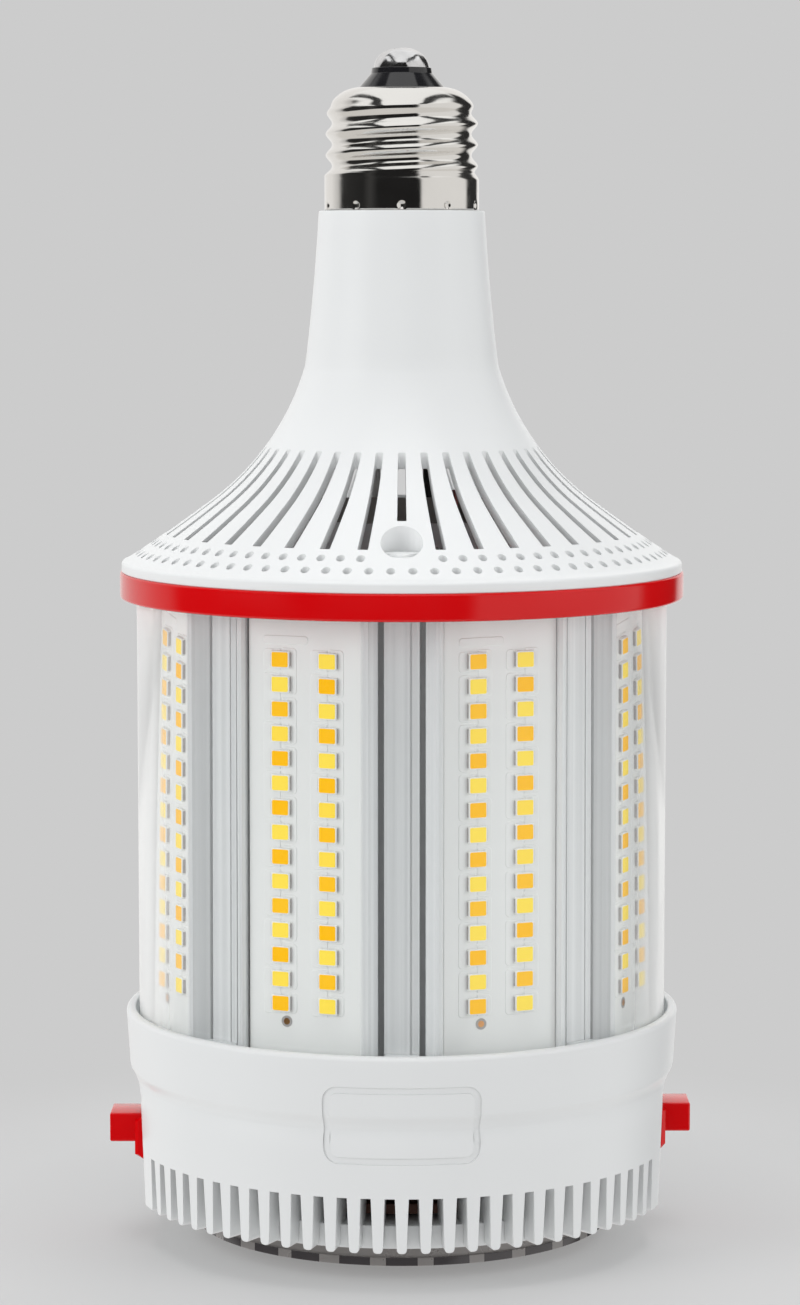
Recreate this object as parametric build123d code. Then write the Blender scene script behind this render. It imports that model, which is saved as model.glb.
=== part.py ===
from build123d import *
from math import cos, degrees, radians, sin, sqrt
import os

# Screw-cap LED lamp in the size of a discharge bulb, in millimetres.
# Z runs from the rim of the end lens, at 0, up to the cap's centre contact, and the front is at -Y.

# General fits
joint_gap = 0.1
slide_gap = 0.3
cut_margin = 1.0

# End lens and base ring
lens_rim_r = 28.0
lens_rim_height = 3.6
lens_rim_width = 1.6
lens_r = 36.3
lens_height = 7.0
lens_wall = 1.6
lens_lip = 0.9
lens_lip_inset = 1.0
lens_lip_width = 2.7
lens_recess = 0.8
lens_tooth_count = 24
lens_tooth_width = 2.0
lens_tooth_depth = 0.35
lens_tooth_sink = 0.5
base_ring_height = 3.9
base_ring_inner_r = 31.0
end_board_r = 33.4
end_board_thickness = 1.5
end_led_circles = ((22.0, 12), (11.0, 6))

# Lower housing
vent_count_per_side = 14
vent_pitch = 4.9
vent_top_width = 1.65
vent_foot_width = 2.3
vent_height = 9.3
rib_depth = 6.0
housing_wall = 2.2
foot_draft = 0.73
collar_step_height = 20.2
collar_step = 1.73
collar_step_rise = 3.3
step_bend = 0.16
collar_draft = 0.63
collar_wall = 1.69
collar_gap = 0.6
collar_depth = 4.7
collar_edge_chamfer = 0.8
shelf_height = 28.6
shelf_thickness = 2.4
shelf_width = 4.8
tab_width = 6.4
tab_height = 4.3
tab_thickness = 1.9
tab_corner = 0.9
cavity_inset = 2.6
cavity_rise = 0.6
rib_backing = 1.0
rib_band_rise = 1.2

# Heat sink, an extrusion with one flat seat for each LED board
side_count = 8
board_seat_apothem = 40.1
board_seat_half = 10.25
bead_width = 1.4
bead_rise = 2.85
bead_chamfer = 0.45
bead_flank = 1.0
flank_foot_s = 3.9
flank_foot_drop = 0.3
groove_inner_s = 2.9
groove_depth = 4.2
boss_face_rise = 1.5
port_r = 1.5
port_depth = 2.3
slit_offset = 1.5
slit_width = 0.35
core_wall = 2.2
core_seat_inset = 1.85
core_corner_inset = 1.7
core_length = 78.4
fins_per_side = 3
fin_thickness = 1.2
fin_tip_r = 23.1

# LED boards and their packages
board_side_gap = 0.25
board_thickness = 1.6
board_shift = 0.15
board_foot_gap = 0.6
led_rows = 15
led_pitch = 4.064
led_column_offset = 4.2
led_width = 3.5
led_height = 2.8
led_thickness = 0.7
first_led_height = 12.0

# Clear cover tube
cover_wall = 1.2
cover_clearance = 0.5
cover_overlap = 0.6

# Trim ring
ring_wall = 2.77
ring_height = 4.6
ring_skirt = 2.1
ring_lip = 1.24
ring_upstand = 0.35
ring_chamfer = 0.4

# Upper housing
shell_wall = 1.7
rim_inset = 0.28
rim_lip_height = 1.25
rim_round = 0.72
rim_round_height = 0.65
cone_rise = 10.3
flare_end_r = 33.04
flare_mid_r = 24.18
flare_mid_rise = 8.6
neck_foot_swell = 2.4
neck_foot_rise = 14.7
neck_mid_swell = 1.16
neck_mid_rise = 11.2
neck_lip = 1.0
neck_top_rise = 15.3
spigot_height = 8.5
spigot_wall = 1.7
spigot_root = 2.0
slot_count = 40
slot_inner_r = 23.6
slot_angle = 2.7
slot_rim_margin = 7.7
pocket_r = 3.45
pocket_margin = 1.0
pocket_floor_rise = 5.45
pocket_wall = 1.2
neck_steps = 2
flare_steps = 5
cone_steps = 1

# Edison cap
thread_r = 13.1
skirt_step = 0.2
cap_wall = 0.5
shoulder_steps = 3
shoulder_bulge = 0.73
skirt_height = 6.5
thread_height = 8.9
shoulder_height = 5.6
shoulder_r = 7.5
insulator_top_r = 5.3
insulator_rise = 2.4
insulator_depth = 5.5
insulator_foot_inset = 1.8
insulator_foot_height = 2.0
insulator_seat_height = 0.9
contact_r = 4.8
contact_height = 4.4
contact_rim = 1.0
contact_stem_r = 1.5
contact_stem_length = 11.9

# Selectors, slides that run round the housing, and their switches
selector_height = 12.4
selector_travel = 10.0
knob_width = 8.0
knob_height = 4.7
knob_reach = 5.45
knob_round = 0.5
cover_plate_height = 8.6
cover_plate_thickness = 1.05
cover_plate_cover = 0.3
plate_bevel = 0.75
plate_bevel_height = 1.4
stem_height = 3.2
stem_clear_angle = 0.35
stem_sink = 0.4
prong_width = 1.2
prong_length = 2.4
fork_play = 0.35
fork_web = 1.0
fork_clearance = 1.2
lever_width = 2.0
lever_height = 2.4
lever_length = 4.3
lever_root_width = 3.6
lever_root_height = 2.6
switch_length = 16.0
switch_depth = 6.0
switch_window_depth = 1.5
switch_setback = 2.3

# Control board and driver
control_board_clearance = 1.2
control_board_thickness = 1.6
spacer_height = 0.8
spacer_r = 2.2
spacer_margin = 0.5
driver_board_thickness = 1.6
sleeve_wall = 1.2
sleeve_foot_drop = 9.6
sleeve_top_rise = 12.0
driver_board_rise = 15.0
driver_board_foot_drop = 10.6
sleeve_flange_width = 3.0
sleeve_flange_thickness = 1.4
guide_depth = 2.2
guide_width = 1.3
guide_sink = 0.1
driver_board_side_gap = 0.6
transformer_share = 0.5
transformer_size = (20.0, 13.0, 16.0)
transformer_leg = 3.4
bobbin_flange = 1.2
inductor_share = 0.82
inductor_r = 9.0
inductor_hole_r = 4.0
inductor_depth = 8.2
capacitor_places = ((6.25, 16.0, -5.5, 0.13), (5.0, 14.0, 7.0, 0.13), (5.0, 12.0, 0.0, 1.03))
device_size = (10.0, 4.4, 9.0)
device_tab = (1.3, 6.5)
device_places = ((-9.0, 0.3), (9.0, 0.3), (0.0, 0.62))
lead_r = 0.8
lead_landing = 5.0
live_lead_x = 4.5
led_lead_r = 0.6
led_lead_x = (9.0, 12.0)
led_lead_spread = 3.0
led_lead_clearance = 3.8
led_lead_end_rise = 1.0

# Screws
screw_r = 1.4
screw_head_r = 2.7
screw_head_height = 1.9
screw_head_chamfer = 0.6
screw_length = 16.0
lower_screw_reach = 12.0

# Heights that follow
housing_foot_z = lens_height
vent_top_z = housing_foot_z + vent_height
selector_z = housing_foot_z + selector_height
step_z = housing_foot_z + collar_step_height
shelf_z = housing_foot_z + shelf_height
collar_top_z = shelf_z + collar_depth
core_top_z = shelf_z + core_length
cover_top_z = core_top_z + cover_overlap
ring_foot_z = core_top_z - ring_skirt
ring_top_z = ring_foot_z + ring_height
cone_foot_z = ring_top_z + rim_lip_height + rim_round_height
flare_end_z = cone_foot_z + cone_rise
flare_mid_z = flare_end_z + flare_mid_rise
neck_foot_z = flare_mid_z + neck_foot_rise
neck_mid_z = neck_foot_z + neck_mid_rise
neck_top_z = neck_mid_z + neck_top_rise
thread_foot_z = neck_top_z + skirt_height
thread_top_z = thread_foot_z + thread_height
shoulder_z = thread_top_z + shoulder_height
insulator_top_z = shoulder_z + insulator_rise
contact_top_z = insulator_top_z + contact_height
sleeve_top_z = core_top_z + sleeve_top_rise
driver_board_foot_z = shelf_z - driver_board_foot_drop
driver_board_top_z = core_top_z + driver_board_rise

# Radii that follow
skirt_r = thread_r + skirt_step
neck_top_r = skirt_r + neck_lip
neck_mid_r = neck_top_r + neck_mid_swell
neck_foot_r = neck_top_r + neck_foot_swell
side_angle = 360 / side_count
half_side = side_angle / 2
bead_apothem = board_seat_apothem + bead_rise
bead_reach = sqrt(bead_apothem**2 + (board_seat_half + bead_width / 2) ** 2)
cover_r = bead_reach + cover_clearance + cover_wall
ring_r = cover_r + joint_gap + ring_wall
rim_r = ring_r - rim_inset
boss_face_r = board_seat_apothem + boss_face_rise
port_centre_r = boss_face_r - port_depth
collar_inner_r = cover_r + collar_gap
collar_r = collar_inner_r + collar_wall
step_top_r = collar_r - collar_draft
waist_r = step_top_r - collar_step
foot_r = waist_r - foot_draft
inner_foot_r = foot_r - housing_wall
rib_inner_r = foot_r - rib_depth
control_board_r = rib_inner_r - control_board_clearance
fork_r = inner_foot_r - fork_clearance
switch_face_r = fork_r - switch_setback
lever_offset = fork_r * sin(radians(selector_travel / 2))
sleeve_r = fin_tip_r - slide_gap
sleeve_inner_r = sleeve_r - sleeve_wall

board_face_y = driver_board_thickness / 2
board_width = 2 * (board_seat_half - board_side_gap)

side_azimuths = [half_side + side_angle * k for k in range(side_count)]
channel_azimuths = [side_angle * k for k in range(side_count)]
upper_screw_azimuths = (0, 180)
lower_screw_azimuths = (45, 135, 225, 315)
selector_azimuths = {"power": -90 + selector_travel / 2, "colour": 90 + selector_travel / 2}
switch_azimuths = {"power": -90, "colour": 90}


def around(shape, azimuth):
    """A shape made at the front, turned about the lamp's axis."""
    return Rot(0, 0, azimuth) * shape


def ring_of(shape, azimuths):
    """Copies of a shape made at the front, one at each azimuth."""
    return [around(shape, azimuth) for azimuth in azimuths]


def lathe(outline, turn=360):
    """A solid of revolution from (radius, height) edges or points."""
    edges = outline if isinstance(outline[0], Edge) else Polyline(outline, close=True).edges()
    section = Plane.XZ * make_face(edges)
    return revolve(section, Axis.Z, turn)


def sector(points, half_angle):
    """A stretch of a turned solid, as far to each side of the front as half_angle."""
    return Rot(0, 0, -90 - half_angle) * lathe(points, 2 * half_angle)


def post(radius, low_z, high_z, centre_r=0.0):
    """An upright cylinder whose axis stands at the front."""
    return Pos(0, -centre_r, low_z) * Cylinder(
        radius, high_z - low_z, align=(Align.CENTER, Align.CENTER, Align.MIN)
    )


def block(width, depth, height, centre):
    """A box by its size along X, Y and Z, and its centre."""
    return Pos(*centre) * Box(width, depth, height)


def sampled(arcs, wall=0.0):
    """Points of a downward outline of (arc, steps) pairs, set in from the outside by a wall."""
    points = []
    for arc, steps in arcs:
        for k in range(1 if points else 0, steps + 1):
            point, along = arc.position_at(k / steps), arc.tangent_at(k / steps)
            points.append((point.X + wall * along.Y, point.Y - wall * along.X))
    return points


def wall_radius(height):
    """The outer radius of the lower housing's drafted wall, below its step."""
    return foot_r + foot_draft * (height - housing_foot_z) / collar_step_height


def channel_point(s, r):
    """A point of a corner channel, in the frame of the LED board beside it."""
    turn = radians(half_side)
    return (-s * cos(turn) + r * sin(turn), s * sin(turn) + r * cos(turn))


def mirrored(points):
    """An outline's right half and its mirror image, from left to right."""
    return [(-x, y) for x, y in reversed(points)] + list(points)


def turned(points, azimuth):
    """Points (along the side, outwards) of one side, in plan at that side's azimuth."""
    a = radians(azimuth)
    return [(x * cos(a) + r * sin(a), x * sin(a) - r * cos(a)) for x, r in points]


def make_contact():
    """A rivet: a domed head on a straight rim, and a stem down through the insulator."""
    stem_foot_z = insulator_top_z - contact_stem_length
    dome_foot_z = insulator_top_z + contact_rim
    dome_height = contact_height - contact_rim
    dome_r = (contact_r**2 + dome_height**2) / (2 * dome_height)
    outline = [
        Line((0, stem_foot_z), (contact_stem_r, stem_foot_z)),
        Line((contact_stem_r, stem_foot_z), (contact_stem_r, insulator_top_z)),
        Line((contact_stem_r, insulator_top_z), (contact_r, insulator_top_z)),
        Line((contact_r, insulator_top_z), (contact_r, dome_foot_z)),
        RadiusArc((contact_r, dome_foot_z), (0, contact_top_z), -dome_r),
        Line((0, contact_top_z), (0, stem_foot_z)),
    ]
    return lathe(outline)


def make_insulator():
    bore = contact_stem_r + joint_gap / 2
    seat_r = shoulder_r - joint_gap
    inner_r = thread_r - cap_wall - insulator_foot_inset
    return lathe(
        [
            (bore, shoulder_z - insulator_depth),
            (inner_r, shoulder_z - insulator_depth),
            (inner_r, shoulder_z - insulator_depth + insulator_foot_height),
            (seat_r, shoulder_z - insulator_seat_height),
            (seat_r, shoulder_z),
            (insulator_top_r, insulator_top_z),
            (bore, insulator_top_z),
        ]
    )


def shell_outline(wall):
    """The shell's open outline from its shoulder down, set in from the outside by a wall."""
    mid_r = shoulder_r + shoulder_bulge * (thread_r - shoulder_r)
    mid_z = shoulder_z - (1 - shoulder_bulge) * shoulder_height - 0.4
    crown = ThreePointArc((shoulder_r, shoulder_z), (mid_r, mid_z), (thread_r, thread_top_z))
    return sampled([(crown, shoulder_steps)], wall) + [
        (thread_r - wall, thread_foot_z),
        (skirt_r - wall, thread_foot_z),
        (skirt_r - wall, neck_top_z),
    ]


def make_screw_shell():
    """The cap's metal shell, plain at the thread's crest."""
    return lathe(shell_outline(0) + shell_outline(cap_wall)[::-1])


def upper_arcs():
    """The upper housing's outer outline: neck, flare and cone, from the top down."""
    neck = ThreePointArc((neck_top_r, neck_top_z), (neck_mid_r, neck_mid_z), (neck_foot_r, neck_foot_z))
    flare = ThreePointArc(
        (neck_foot_r, neck_foot_z), (flare_mid_r, flare_mid_z), (flare_end_r, flare_end_z)
    )
    cone_end = (rim_r - rim_round, cone_foot_z)
    cone = TangentArc((flare_end_r, flare_end_z), cone_end, tangent=flare.tangent_at(1))
    return [(neck, neck_steps), (flare, flare_steps), (cone, cone_steps)]


def under_outline(points, foot_z):
    """The solid under a downward outline, down to a level."""
    return lathe([*points, (points[-1][0], foot_z), (0, foot_z), (0, points[0][1])])


def make_upper_housing():
    outer_points = sampled(upper_arcs()) + [(rim_r, cone_foot_z - rim_round_height)]
    outer = under_outline(outer_points, ring_top_z)
    inner_points = sampled(upper_arcs(), shell_wall)
    (near_r, near_z), (end_r, end_z) = inner_points[-2:]
    wall_r = rim_r - shell_wall
    inner_points[-1] = (wall_r, end_z + (near_z - end_z) * (end_r - wall_r) / (end_r - near_r))
    cavity = under_outline(inner_points, ring_top_z)
    spigot_r = skirt_r - cap_wall - slide_gap
    spigot_bore = post(spigot_r - spigot_wall, neck_foot_z, neck_top_z + spigot_height)
    shell = around(outer - cavity, 180 / slot_count)
    shell += post(spigot_r, neck_top_z - spigot_root, neck_top_z + spigot_height)
    shell -= spigot_bore

    pocket_floor_z = ring_top_z + pocket_floor_rise
    boss = post(pocket_r + pocket_wall, core_top_z, neck_foot_z, port_centre_r)
    below_cone = under_outline(outer_points, core_top_z)
    shell += [around(boss, azimuth) & below_cone for azimuth in upper_screw_azimuths]

    pocket = post(pocket_r, pocket_floor_z, neck_foot_z, port_centre_r)
    hole = post(screw_r + joint_gap, core_top_z, pocket_floor_z, port_centre_r)
    sink = Pos(0, -port_centre_r, pocket_floor_z) * Cone(
        joint_gap, screw_head_r + joint_gap, screw_head_r, align=(Align.CENTER, Align.CENTER, Align.MAX)
    )
    shell -= [around(pocket + hole + sink, azimuth) for azimuth in upper_screw_azimuths]

    slots = []
    for index in range(slot_count):
        azimuth = index * 360 / slot_count
        outer_r = rim_r - slot_rim_margin
        if azimuth in upper_screw_azimuths:
            outer_r = port_centre_r - pocket_r - pocket_margin
        outline = [
            (slot_inner_r, ring_top_z),
            (outer_r, ring_top_z),
            (outer_r, neck_foot_z),
            (slot_inner_r, neck_foot_z),
        ]
        slots.append(around(sector(outline, slot_angle / 2), azimuth))
    return shell - slots


def make_trim_ring():
    socket_r = cover_r + joint_gap
    lip_r = socket_r - ring_lip
    upstand_r = rim_r - shell_wall - joint_gap
    ring = lathe(
        [
            (socket_r, ring_foot_z),
            (ring_r, ring_foot_z),
            (ring_r, ring_top_z),
            (upstand_r, ring_top_z),
            (upstand_r, ring_top_z + ring_upstand),
            (lip_r, ring_top_z + ring_upstand),
            (lip_r, cover_top_z),
            (socket_r, cover_top_z),
        ]
    )
    rims = [edge for edge in ring.edges().filter_by(GeomType.CIRCLE) if edge.radius > ring_r - joint_gap]
    return chamfer(rims, ring_chamfer)


def make_clear_cover():
    return post(cover_r, shelf_z, cover_top_z) - post(cover_r - cover_wall, shelf_z, cover_top_z)


def make_heat_sink():
    """One extruded section: seats with beaded edges, ribbed corner channels, inward fins."""
    groove_r = boss_face_r - groove_depth
    outer_half = [
        (board_seat_half, board_seat_apothem),
        (board_seat_half, bead_apothem),
        (board_seat_half + bead_width, bead_apothem),
        (board_seat_half + bead_width, bead_apothem - bead_flank),
        channel_point(flank_foot_s, boss_face_r - flank_foot_drop),
        channel_point(flank_foot_s, groove_r),
        channel_point(groove_inner_s, groove_r),
        channel_point(groove_inner_s, boss_face_r),
    ]
    inner_half = [
        (board_seat_half - core_seat_inset, board_seat_apothem - core_wall),
        channel_point(groove_inner_s + core_corner_inset, groove_r - core_wall),
    ]
    outer_points, inner_points = [], []
    for azimuth in side_azimuths:
        outer_points += turned(mirrored(outer_half), azimuth)
        inner_points += turned(mirrored(inner_half), azimuth)
    outer = make_face(Polyline(outer_points, close=True).edges())
    corners = [v for v in outer.vertices() if Vector(v.X, v.Y).length > bead_reach - bead_chamfer]
    outer = chamfer(corners, bead_chamfer)
    section = outer - make_face(Polyline(inner_points, close=True).edges())

    fin_length = board_seat_apothem - core_wall / 2 - fin_tip_r
    fin = Pos(0, -(fin_tip_r + fin_length / 2)) * Rectangle(fin_thickness, fin_length)
    fin_pitch = side_angle / fins_per_side
    fin_azimuths = [half_side + fin_pitch * k for k in range(side_count * fins_per_side)]
    section += [around(fin, azimuth) & outer for azimuth in fin_azimuths]

    port = Pos(0, -port_centre_r) * Circle(port_r)
    slit = Pos(slit_offset, -boss_face_r) * Rectangle(slit_width, 2 * slit_width)
    section -= ring_of(port + slit, channel_azimuths)
    return extrude(Pos(0, 0, shelf_z) * section, core_length)


def make_led_board():
    return block(
        board_width,
        board_thickness,
        core_length - 2 * board_foot_gap,
        (board_shift, -(board_seat_apothem + board_thickness / 2), shelf_z + core_length / 2),
    )


def make_board_leds():
    """The two columns of LED packages of one board."""
    centre_y = -(board_seat_apothem + board_thickness + led_thickness / 2)
    packages = []
    for row in range(led_rows):
        height = shelf_z + first_led_height + row * led_pitch
        for side in (-1, 1):
            centre = (board_shift + side * led_column_offset, centre_y, height)
            packages.append(block(led_width, led_thickness, led_height, centre))
    return Compound(packages)


def vent_cutter():
    """One vent, wider at the housing's foot, where it is open."""
    half_top, half_foot = vent_top_width / 2, vent_foot_width / 2
    below_z = housing_foot_z - cut_margin
    outline = Polyline(
        (-half_top, vent_top_z),
        (half_top, vent_top_z),
        (half_foot, housing_foot_z),
        (half_foot, below_z),
        (-half_foot, below_z),
        (-half_foot, housing_foot_z),
        close=True,
    )
    inner_r = rib_inner_r - cut_margin
    face = Plane.XZ.offset(inner_r) * make_face(outline.edges())
    return extrude(face, waist_r + cut_margin - inner_r)


def make_lower_housing():
    shelf_under_z = shelf_z - shelf_thickness
    step_top_z = step_z + collar_step_rise
    edge = collar_edge_chamfer
    cavity_r = step_top_r - cavity_inset
    outline = [
        (inner_foot_r, housing_foot_z),
        (foot_r, housing_foot_z),
        (waist_r, step_z),
        (waist_r + step_bend * collar_step, step_z + collar_step_rise / 4),
        (step_top_r - step_bend * collar_step, step_top_z - collar_step_rise / 4),
        (step_top_r, step_top_z),
        (collar_r, collar_top_z - edge),
        (collar_r - edge / 3, collar_top_z - edge / 3),
        (collar_r - edge, collar_top_z),
        (collar_inner_r, collar_top_z),
        (collar_inner_r, shelf_z),
        (boss_face_r - shelf_width, shelf_z),
        (boss_face_r - shelf_width, shelf_under_z),
        (cavity_r, shelf_under_z),
        (cavity_r, step_top_z + cavity_rise),
        (waist_r - housing_wall, step_z + cavity_rise),
    ]
    housing = lathe(outline)

    vent_azimuths = [(k + 0.5) * vent_pitch for k in range(-vent_count_per_side, vent_count_per_side)]
    band_low_z = housing_foot_z + base_ring_height
    band_high_z = vent_top_z + rib_band_rise
    band = sector(
        [
            (rib_inner_r, band_low_z),
            (wall_radius(band_low_z) - rib_backing, band_low_z),
            (wall_radius(band_high_z) - rib_backing, band_high_z),
            (rib_inner_r, band_high_z),
        ],
        vent_count_per_side * vent_pitch + joint_gap,
    )
    tab_centre_r = boss_face_r + joint_gap + tab_thickness / 2
    tab = block(tab_width, tab_thickness, tab_height, (0, -tab_centre_r, shelf_z + tab_height / 2))
    tab = chamfer(tab.edges().filter_by(Axis.Y).group_by(Axis.Z)[-1], tab_corner)
    housing += [band, around(band, 180), *ring_of(tab, channel_azimuths)]

    vents = ring_of(vent_cutter(), vent_azimuths + [180 + azimuth for azimuth in vent_azimuths])
    screw_hole = post(screw_r + joint_gap, shelf_under_z - cut_margin, shelf_z + cut_margin, port_centre_r)
    stem_half = selector_travel / 2 + stem_half_angle() + stem_clear_angle
    low, high = selector_z - stem_height / 2 - slide_gap, selector_z + stem_height / 2 + slide_gap
    stem_slot = sector([(fork_r, low), (collar_r, low), (collar_r, high), (fork_r, high)], stem_half)
    cuts = ring_of(screw_hole, lower_screw_azimuths) + ring_of(stem_slot, switch_azimuths.values())
    return housing - vents - cuts


def make_base_ring():
    """The ring that closes the vents from behind and carries the end board and lens."""
    top_z = housing_foot_z + base_ring_height
    lip_r = lens_r - lens_lip_inset + joint_gap
    board_seat_z = housing_foot_z + lens_lip + end_board_thickness
    ring = lathe(
        [
            (lip_r, housing_foot_z),
            (inner_foot_r - joint_gap / 2, housing_foot_z),
            (inner_foot_r - joint_gap / 2, top_z),
            (base_ring_inner_r, top_z),
            (base_ring_inner_r, board_seat_z),
            (end_board_r + joint_gap, board_seat_z),
            (end_board_r + joint_gap, housing_foot_z + lens_lip),
            (lip_r, housing_foot_z + lens_lip),
        ]
    )
    spacer = post(spacer_r, top_z, top_z + spacer_height, control_board_r - spacer_r - spacer_margin)
    return ring + ring_of(spacer, lower_screw_azimuths)


def make_end_board():
    foot_z = housing_foot_z + lens_lip
    return post(end_board_r, foot_z, foot_z + end_board_thickness)


def make_end_leds():
    centre_z = housing_foot_z + lens_lip - led_thickness / 2
    packages = []
    for radius, count in end_led_circles:
        package = block(led_height, led_width, led_thickness, (0, -radius, centre_z))
        packages += ring_of(package, [360 / count * k for k in range(count)])
    return Compound(packages)


def make_end_lens():
    """The stepped lens: rim to stand on, flange above it, lip in the base ring."""
    inner_rim_r = lens_rim_r - lens_rim_width
    lip_r = lens_r - lens_lip_inset
    lip_top_z = lens_height + lens_lip - joint_gap / 2
    lens = lathe(
        [
            (0, lens_recess),
            (inner_rim_r, lens_recess),
            (inner_rim_r, 0),
            (lens_rim_r, 0),
            (lens_rim_r, lens_rim_height),
            (lens_r, lens_rim_height),
            (lens_r, lens_height),
            (lip_r, lens_height),
            (lip_r, lip_top_z),
            (lip_r - lens_lip_width, lip_top_z),
            (lip_r - lens_lip_width, lens_rim_height + lens_wall),
            (inner_rim_r, lens_rim_height + lens_wall),
            (inner_rim_r, lens_recess + lens_wall),
            (0, lens_recess + lens_wall),
        ]
    )
    tooth_depth = lens_tooth_depth + lens_tooth_sink
    tooth = block(
        lens_tooth_width,
        tooth_depth,
        lens_rim_height,
        (0, -(lens_rim_r - lens_tooth_sink + tooth_depth / 2), lens_rim_height / 2),
    )
    return lens + ring_of(tooth, [360 / lens_tooth_count * k for k in range(lens_tooth_count)])


def stem_half_angle():
    """Half of the stem's width, as degrees round the lamp's axis."""
    half_width = lever_width / 2 + slide_gap + prong_width
    return degrees(half_width / inner_foot_r)


def make_selector():
    """Knob, curved cover plate, stem and fork in one moulding, at the front."""
    plate_inner_r = wall_radius(selector_z + cover_plate_height / 2) + slide_gap
    plate_r = plate_inner_r + cover_plate_thickness
    low, high = selector_z - cover_plate_height / 2, selector_z + cover_plate_height / 2
    plate_half = selector_travel + stem_half_angle() + stem_clear_angle + cover_plate_cover
    plate = sector(
        [
            (plate_inner_r, low),
            (plate_r - plate_bevel, low),
            (plate_r, low + plate_bevel_height),
            (plate_r, high - plate_bevel_height),
            (plate_r - plate_bevel, high),
            (plate_inner_r, high),
        ],
        plate_half,
    )
    root_r = plate_inner_r + stem_sink
    knob_r = plate_inner_r + knob_reach
    knob = block(knob_width, knob_r - root_r, knob_height, (0, -(knob_r + root_r) / 2, selector_z))
    knob = fillet(knob.faces().sort_by(Axis.Y)[0].edges(), knob_round)

    gap = lever_width + 2 * fork_play
    stem_inner_r = fork_r + fork_web
    stem = block(
        gap + 2 * prong_width,
        root_r - stem_inner_r,
        stem_height,
        (0, -(root_r + stem_inner_r) / 2, selector_z),
    )
    prongs = [
        block(
            prong_width,
            prong_length,
            stem_height,
            (side * (gap + prong_width) / 2, prong_length / 2 - stem_inner_r, selector_z),
        )
        for side in (-1, 1)
    ]
    return plate + knob + stem + prongs


def make_switch():
    """A slide switch standing on the control board, with the window that its lever moves in."""
    body = block(
        switch_length,
        switch_depth,
        2 * (selector_z - control_board_top()),
        (0, -(switch_face_r - switch_depth / 2), selector_z),
    )
    window = block(
        2 * lever_offset + lever_root_width + 2 * slide_gap,
        switch_window_depth,
        lever_root_height + 2 * slide_gap,
        (0, -(switch_face_r - switch_window_depth / 2), selector_z),
    )
    return body - window


def make_lever():
    """A switch's lever at the end of its travel, its foot in the window."""
    foot_r = switch_face_r - switch_window_depth + slide_gap / 2
    root_depth = switch_window_depth - slide_gap
    tip_r = foot_r + lever_length
    root = block(
        lever_root_width,
        root_depth,
        lever_root_height,
        (lever_offset, -(foot_r + root_depth / 2), selector_z),
    )
    tip = block(lever_width, tip_r - foot_r, lever_height, (lever_offset, -(foot_r + tip_r) / 2, selector_z))
    return root + tip


def control_board_top():
    return housing_foot_z + base_ring_height + spacer_height + control_board_thickness


def make_control_board():
    top_z = control_board_top()
    return post(control_board_r, top_z - control_board_thickness, top_z)


def make_driver_sleeve():
    low_z, high_z = shelf_z - sleeve_foot_drop, sleeve_top_z
    sleeve = lathe(
        [
            (sleeve_inner_r, low_z),
            (sleeve_r, low_z),
            (sleeve_r, core_top_z),
            (sleeve_r + sleeve_flange_width, core_top_z),
            (sleeve_r + sleeve_flange_width, core_top_z + sleeve_flange_thickness),
            (sleeve_r, core_top_z + sleeve_flange_thickness),
            (sleeve_r, high_z),
            (sleeve_inner_r, high_z),
        ]
    )
    guide_y = driver_board_thickness / 2 + joint_gap + guide_width / 2
    guide_x = sleeve_inner_r - guide_depth / 2 + guide_sink
    for side in (-1, 1):
        for face in (-1, 1):
            centre = (side * guide_x, face * guide_y, (low_z + high_z) / 2)
            sleeve += block(guide_depth, guide_width, high_z - low_z, centre)
    return sleeve


def make_driver_board():
    width = 2 * (sleeve_inner_r - driver_board_side_gap)
    height = driver_board_top_z - driver_board_foot_z
    centre_z = (driver_board_top_z + driver_board_foot_z) / 2
    return block(width, driver_board_thickness, height, (0, 0, centre_z))


def make_transformer():
    """An E-core pair round a wound bobbin, on the board's rear face."""
    centre_z = shelf_z + transformer_share * core_length
    width, depth, height = transformer_size
    leg = transformer_leg
    middle_y = board_face_y + bobbin_flange + depth / 2
    core = block(width, depth, height, (0, middle_y, centre_z))
    core -= block(width - 2 * leg, 2 * depth, height - 2 * leg, (0, middle_y, centre_z))
    bobbin_depth = depth + 2 * bobbin_flange
    bobbin = block(
        width - 2 * leg - slide_gap,
        bobbin_depth,
        height - 2 * leg - slide_gap,
        (0, board_face_y + bobbin_depth / 2, centre_z),
    )
    flange = block(width - leg, bobbin_flange, height + leg / 2, (0, board_face_y + bobbin_flange / 2, centre_z))
    return core + bobbin + flange


def make_inductor():
    """A toroid wound with copper, standing on the board's rear face."""
    centre = (0, board_face_y + inductor_depth / 2, shelf_z + inductor_share * core_length)
    ring = Cylinder(inductor_r, inductor_depth) - Cylinder(inductor_hole_r, inductor_depth)
    return Pos(*centre) * Rot(90, 0, 0) * ring


def make_capacitors():
    cans = []
    for radius, length, x, share in capacitor_places:
        centre = (x, board_face_y + length / 2, shelf_z + share * core_length)
        cans.append(Pos(*centre) * Rot(90, 0, 0) * Cylinder(radius, length))
    return Compound(cans)


def make_power_devices():
    """Tabbed power devices on the board's front face."""
    width, depth, height = device_size
    tab_depth, tab_rise = device_tab
    devices = []
    for x, share in device_places:
        centre_z = shelf_z + share * core_length
        body = block(width, depth, height, (x, -board_face_y - depth / 2, centre_z))
        tab = block(
            width,
            tab_depth,
            tab_rise,
            (x, -board_face_y - tab_depth / 2, centre_z + (height + tab_rise) / 2),
        )
        devices.append(body + tab)
    return Compound(devices)


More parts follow.
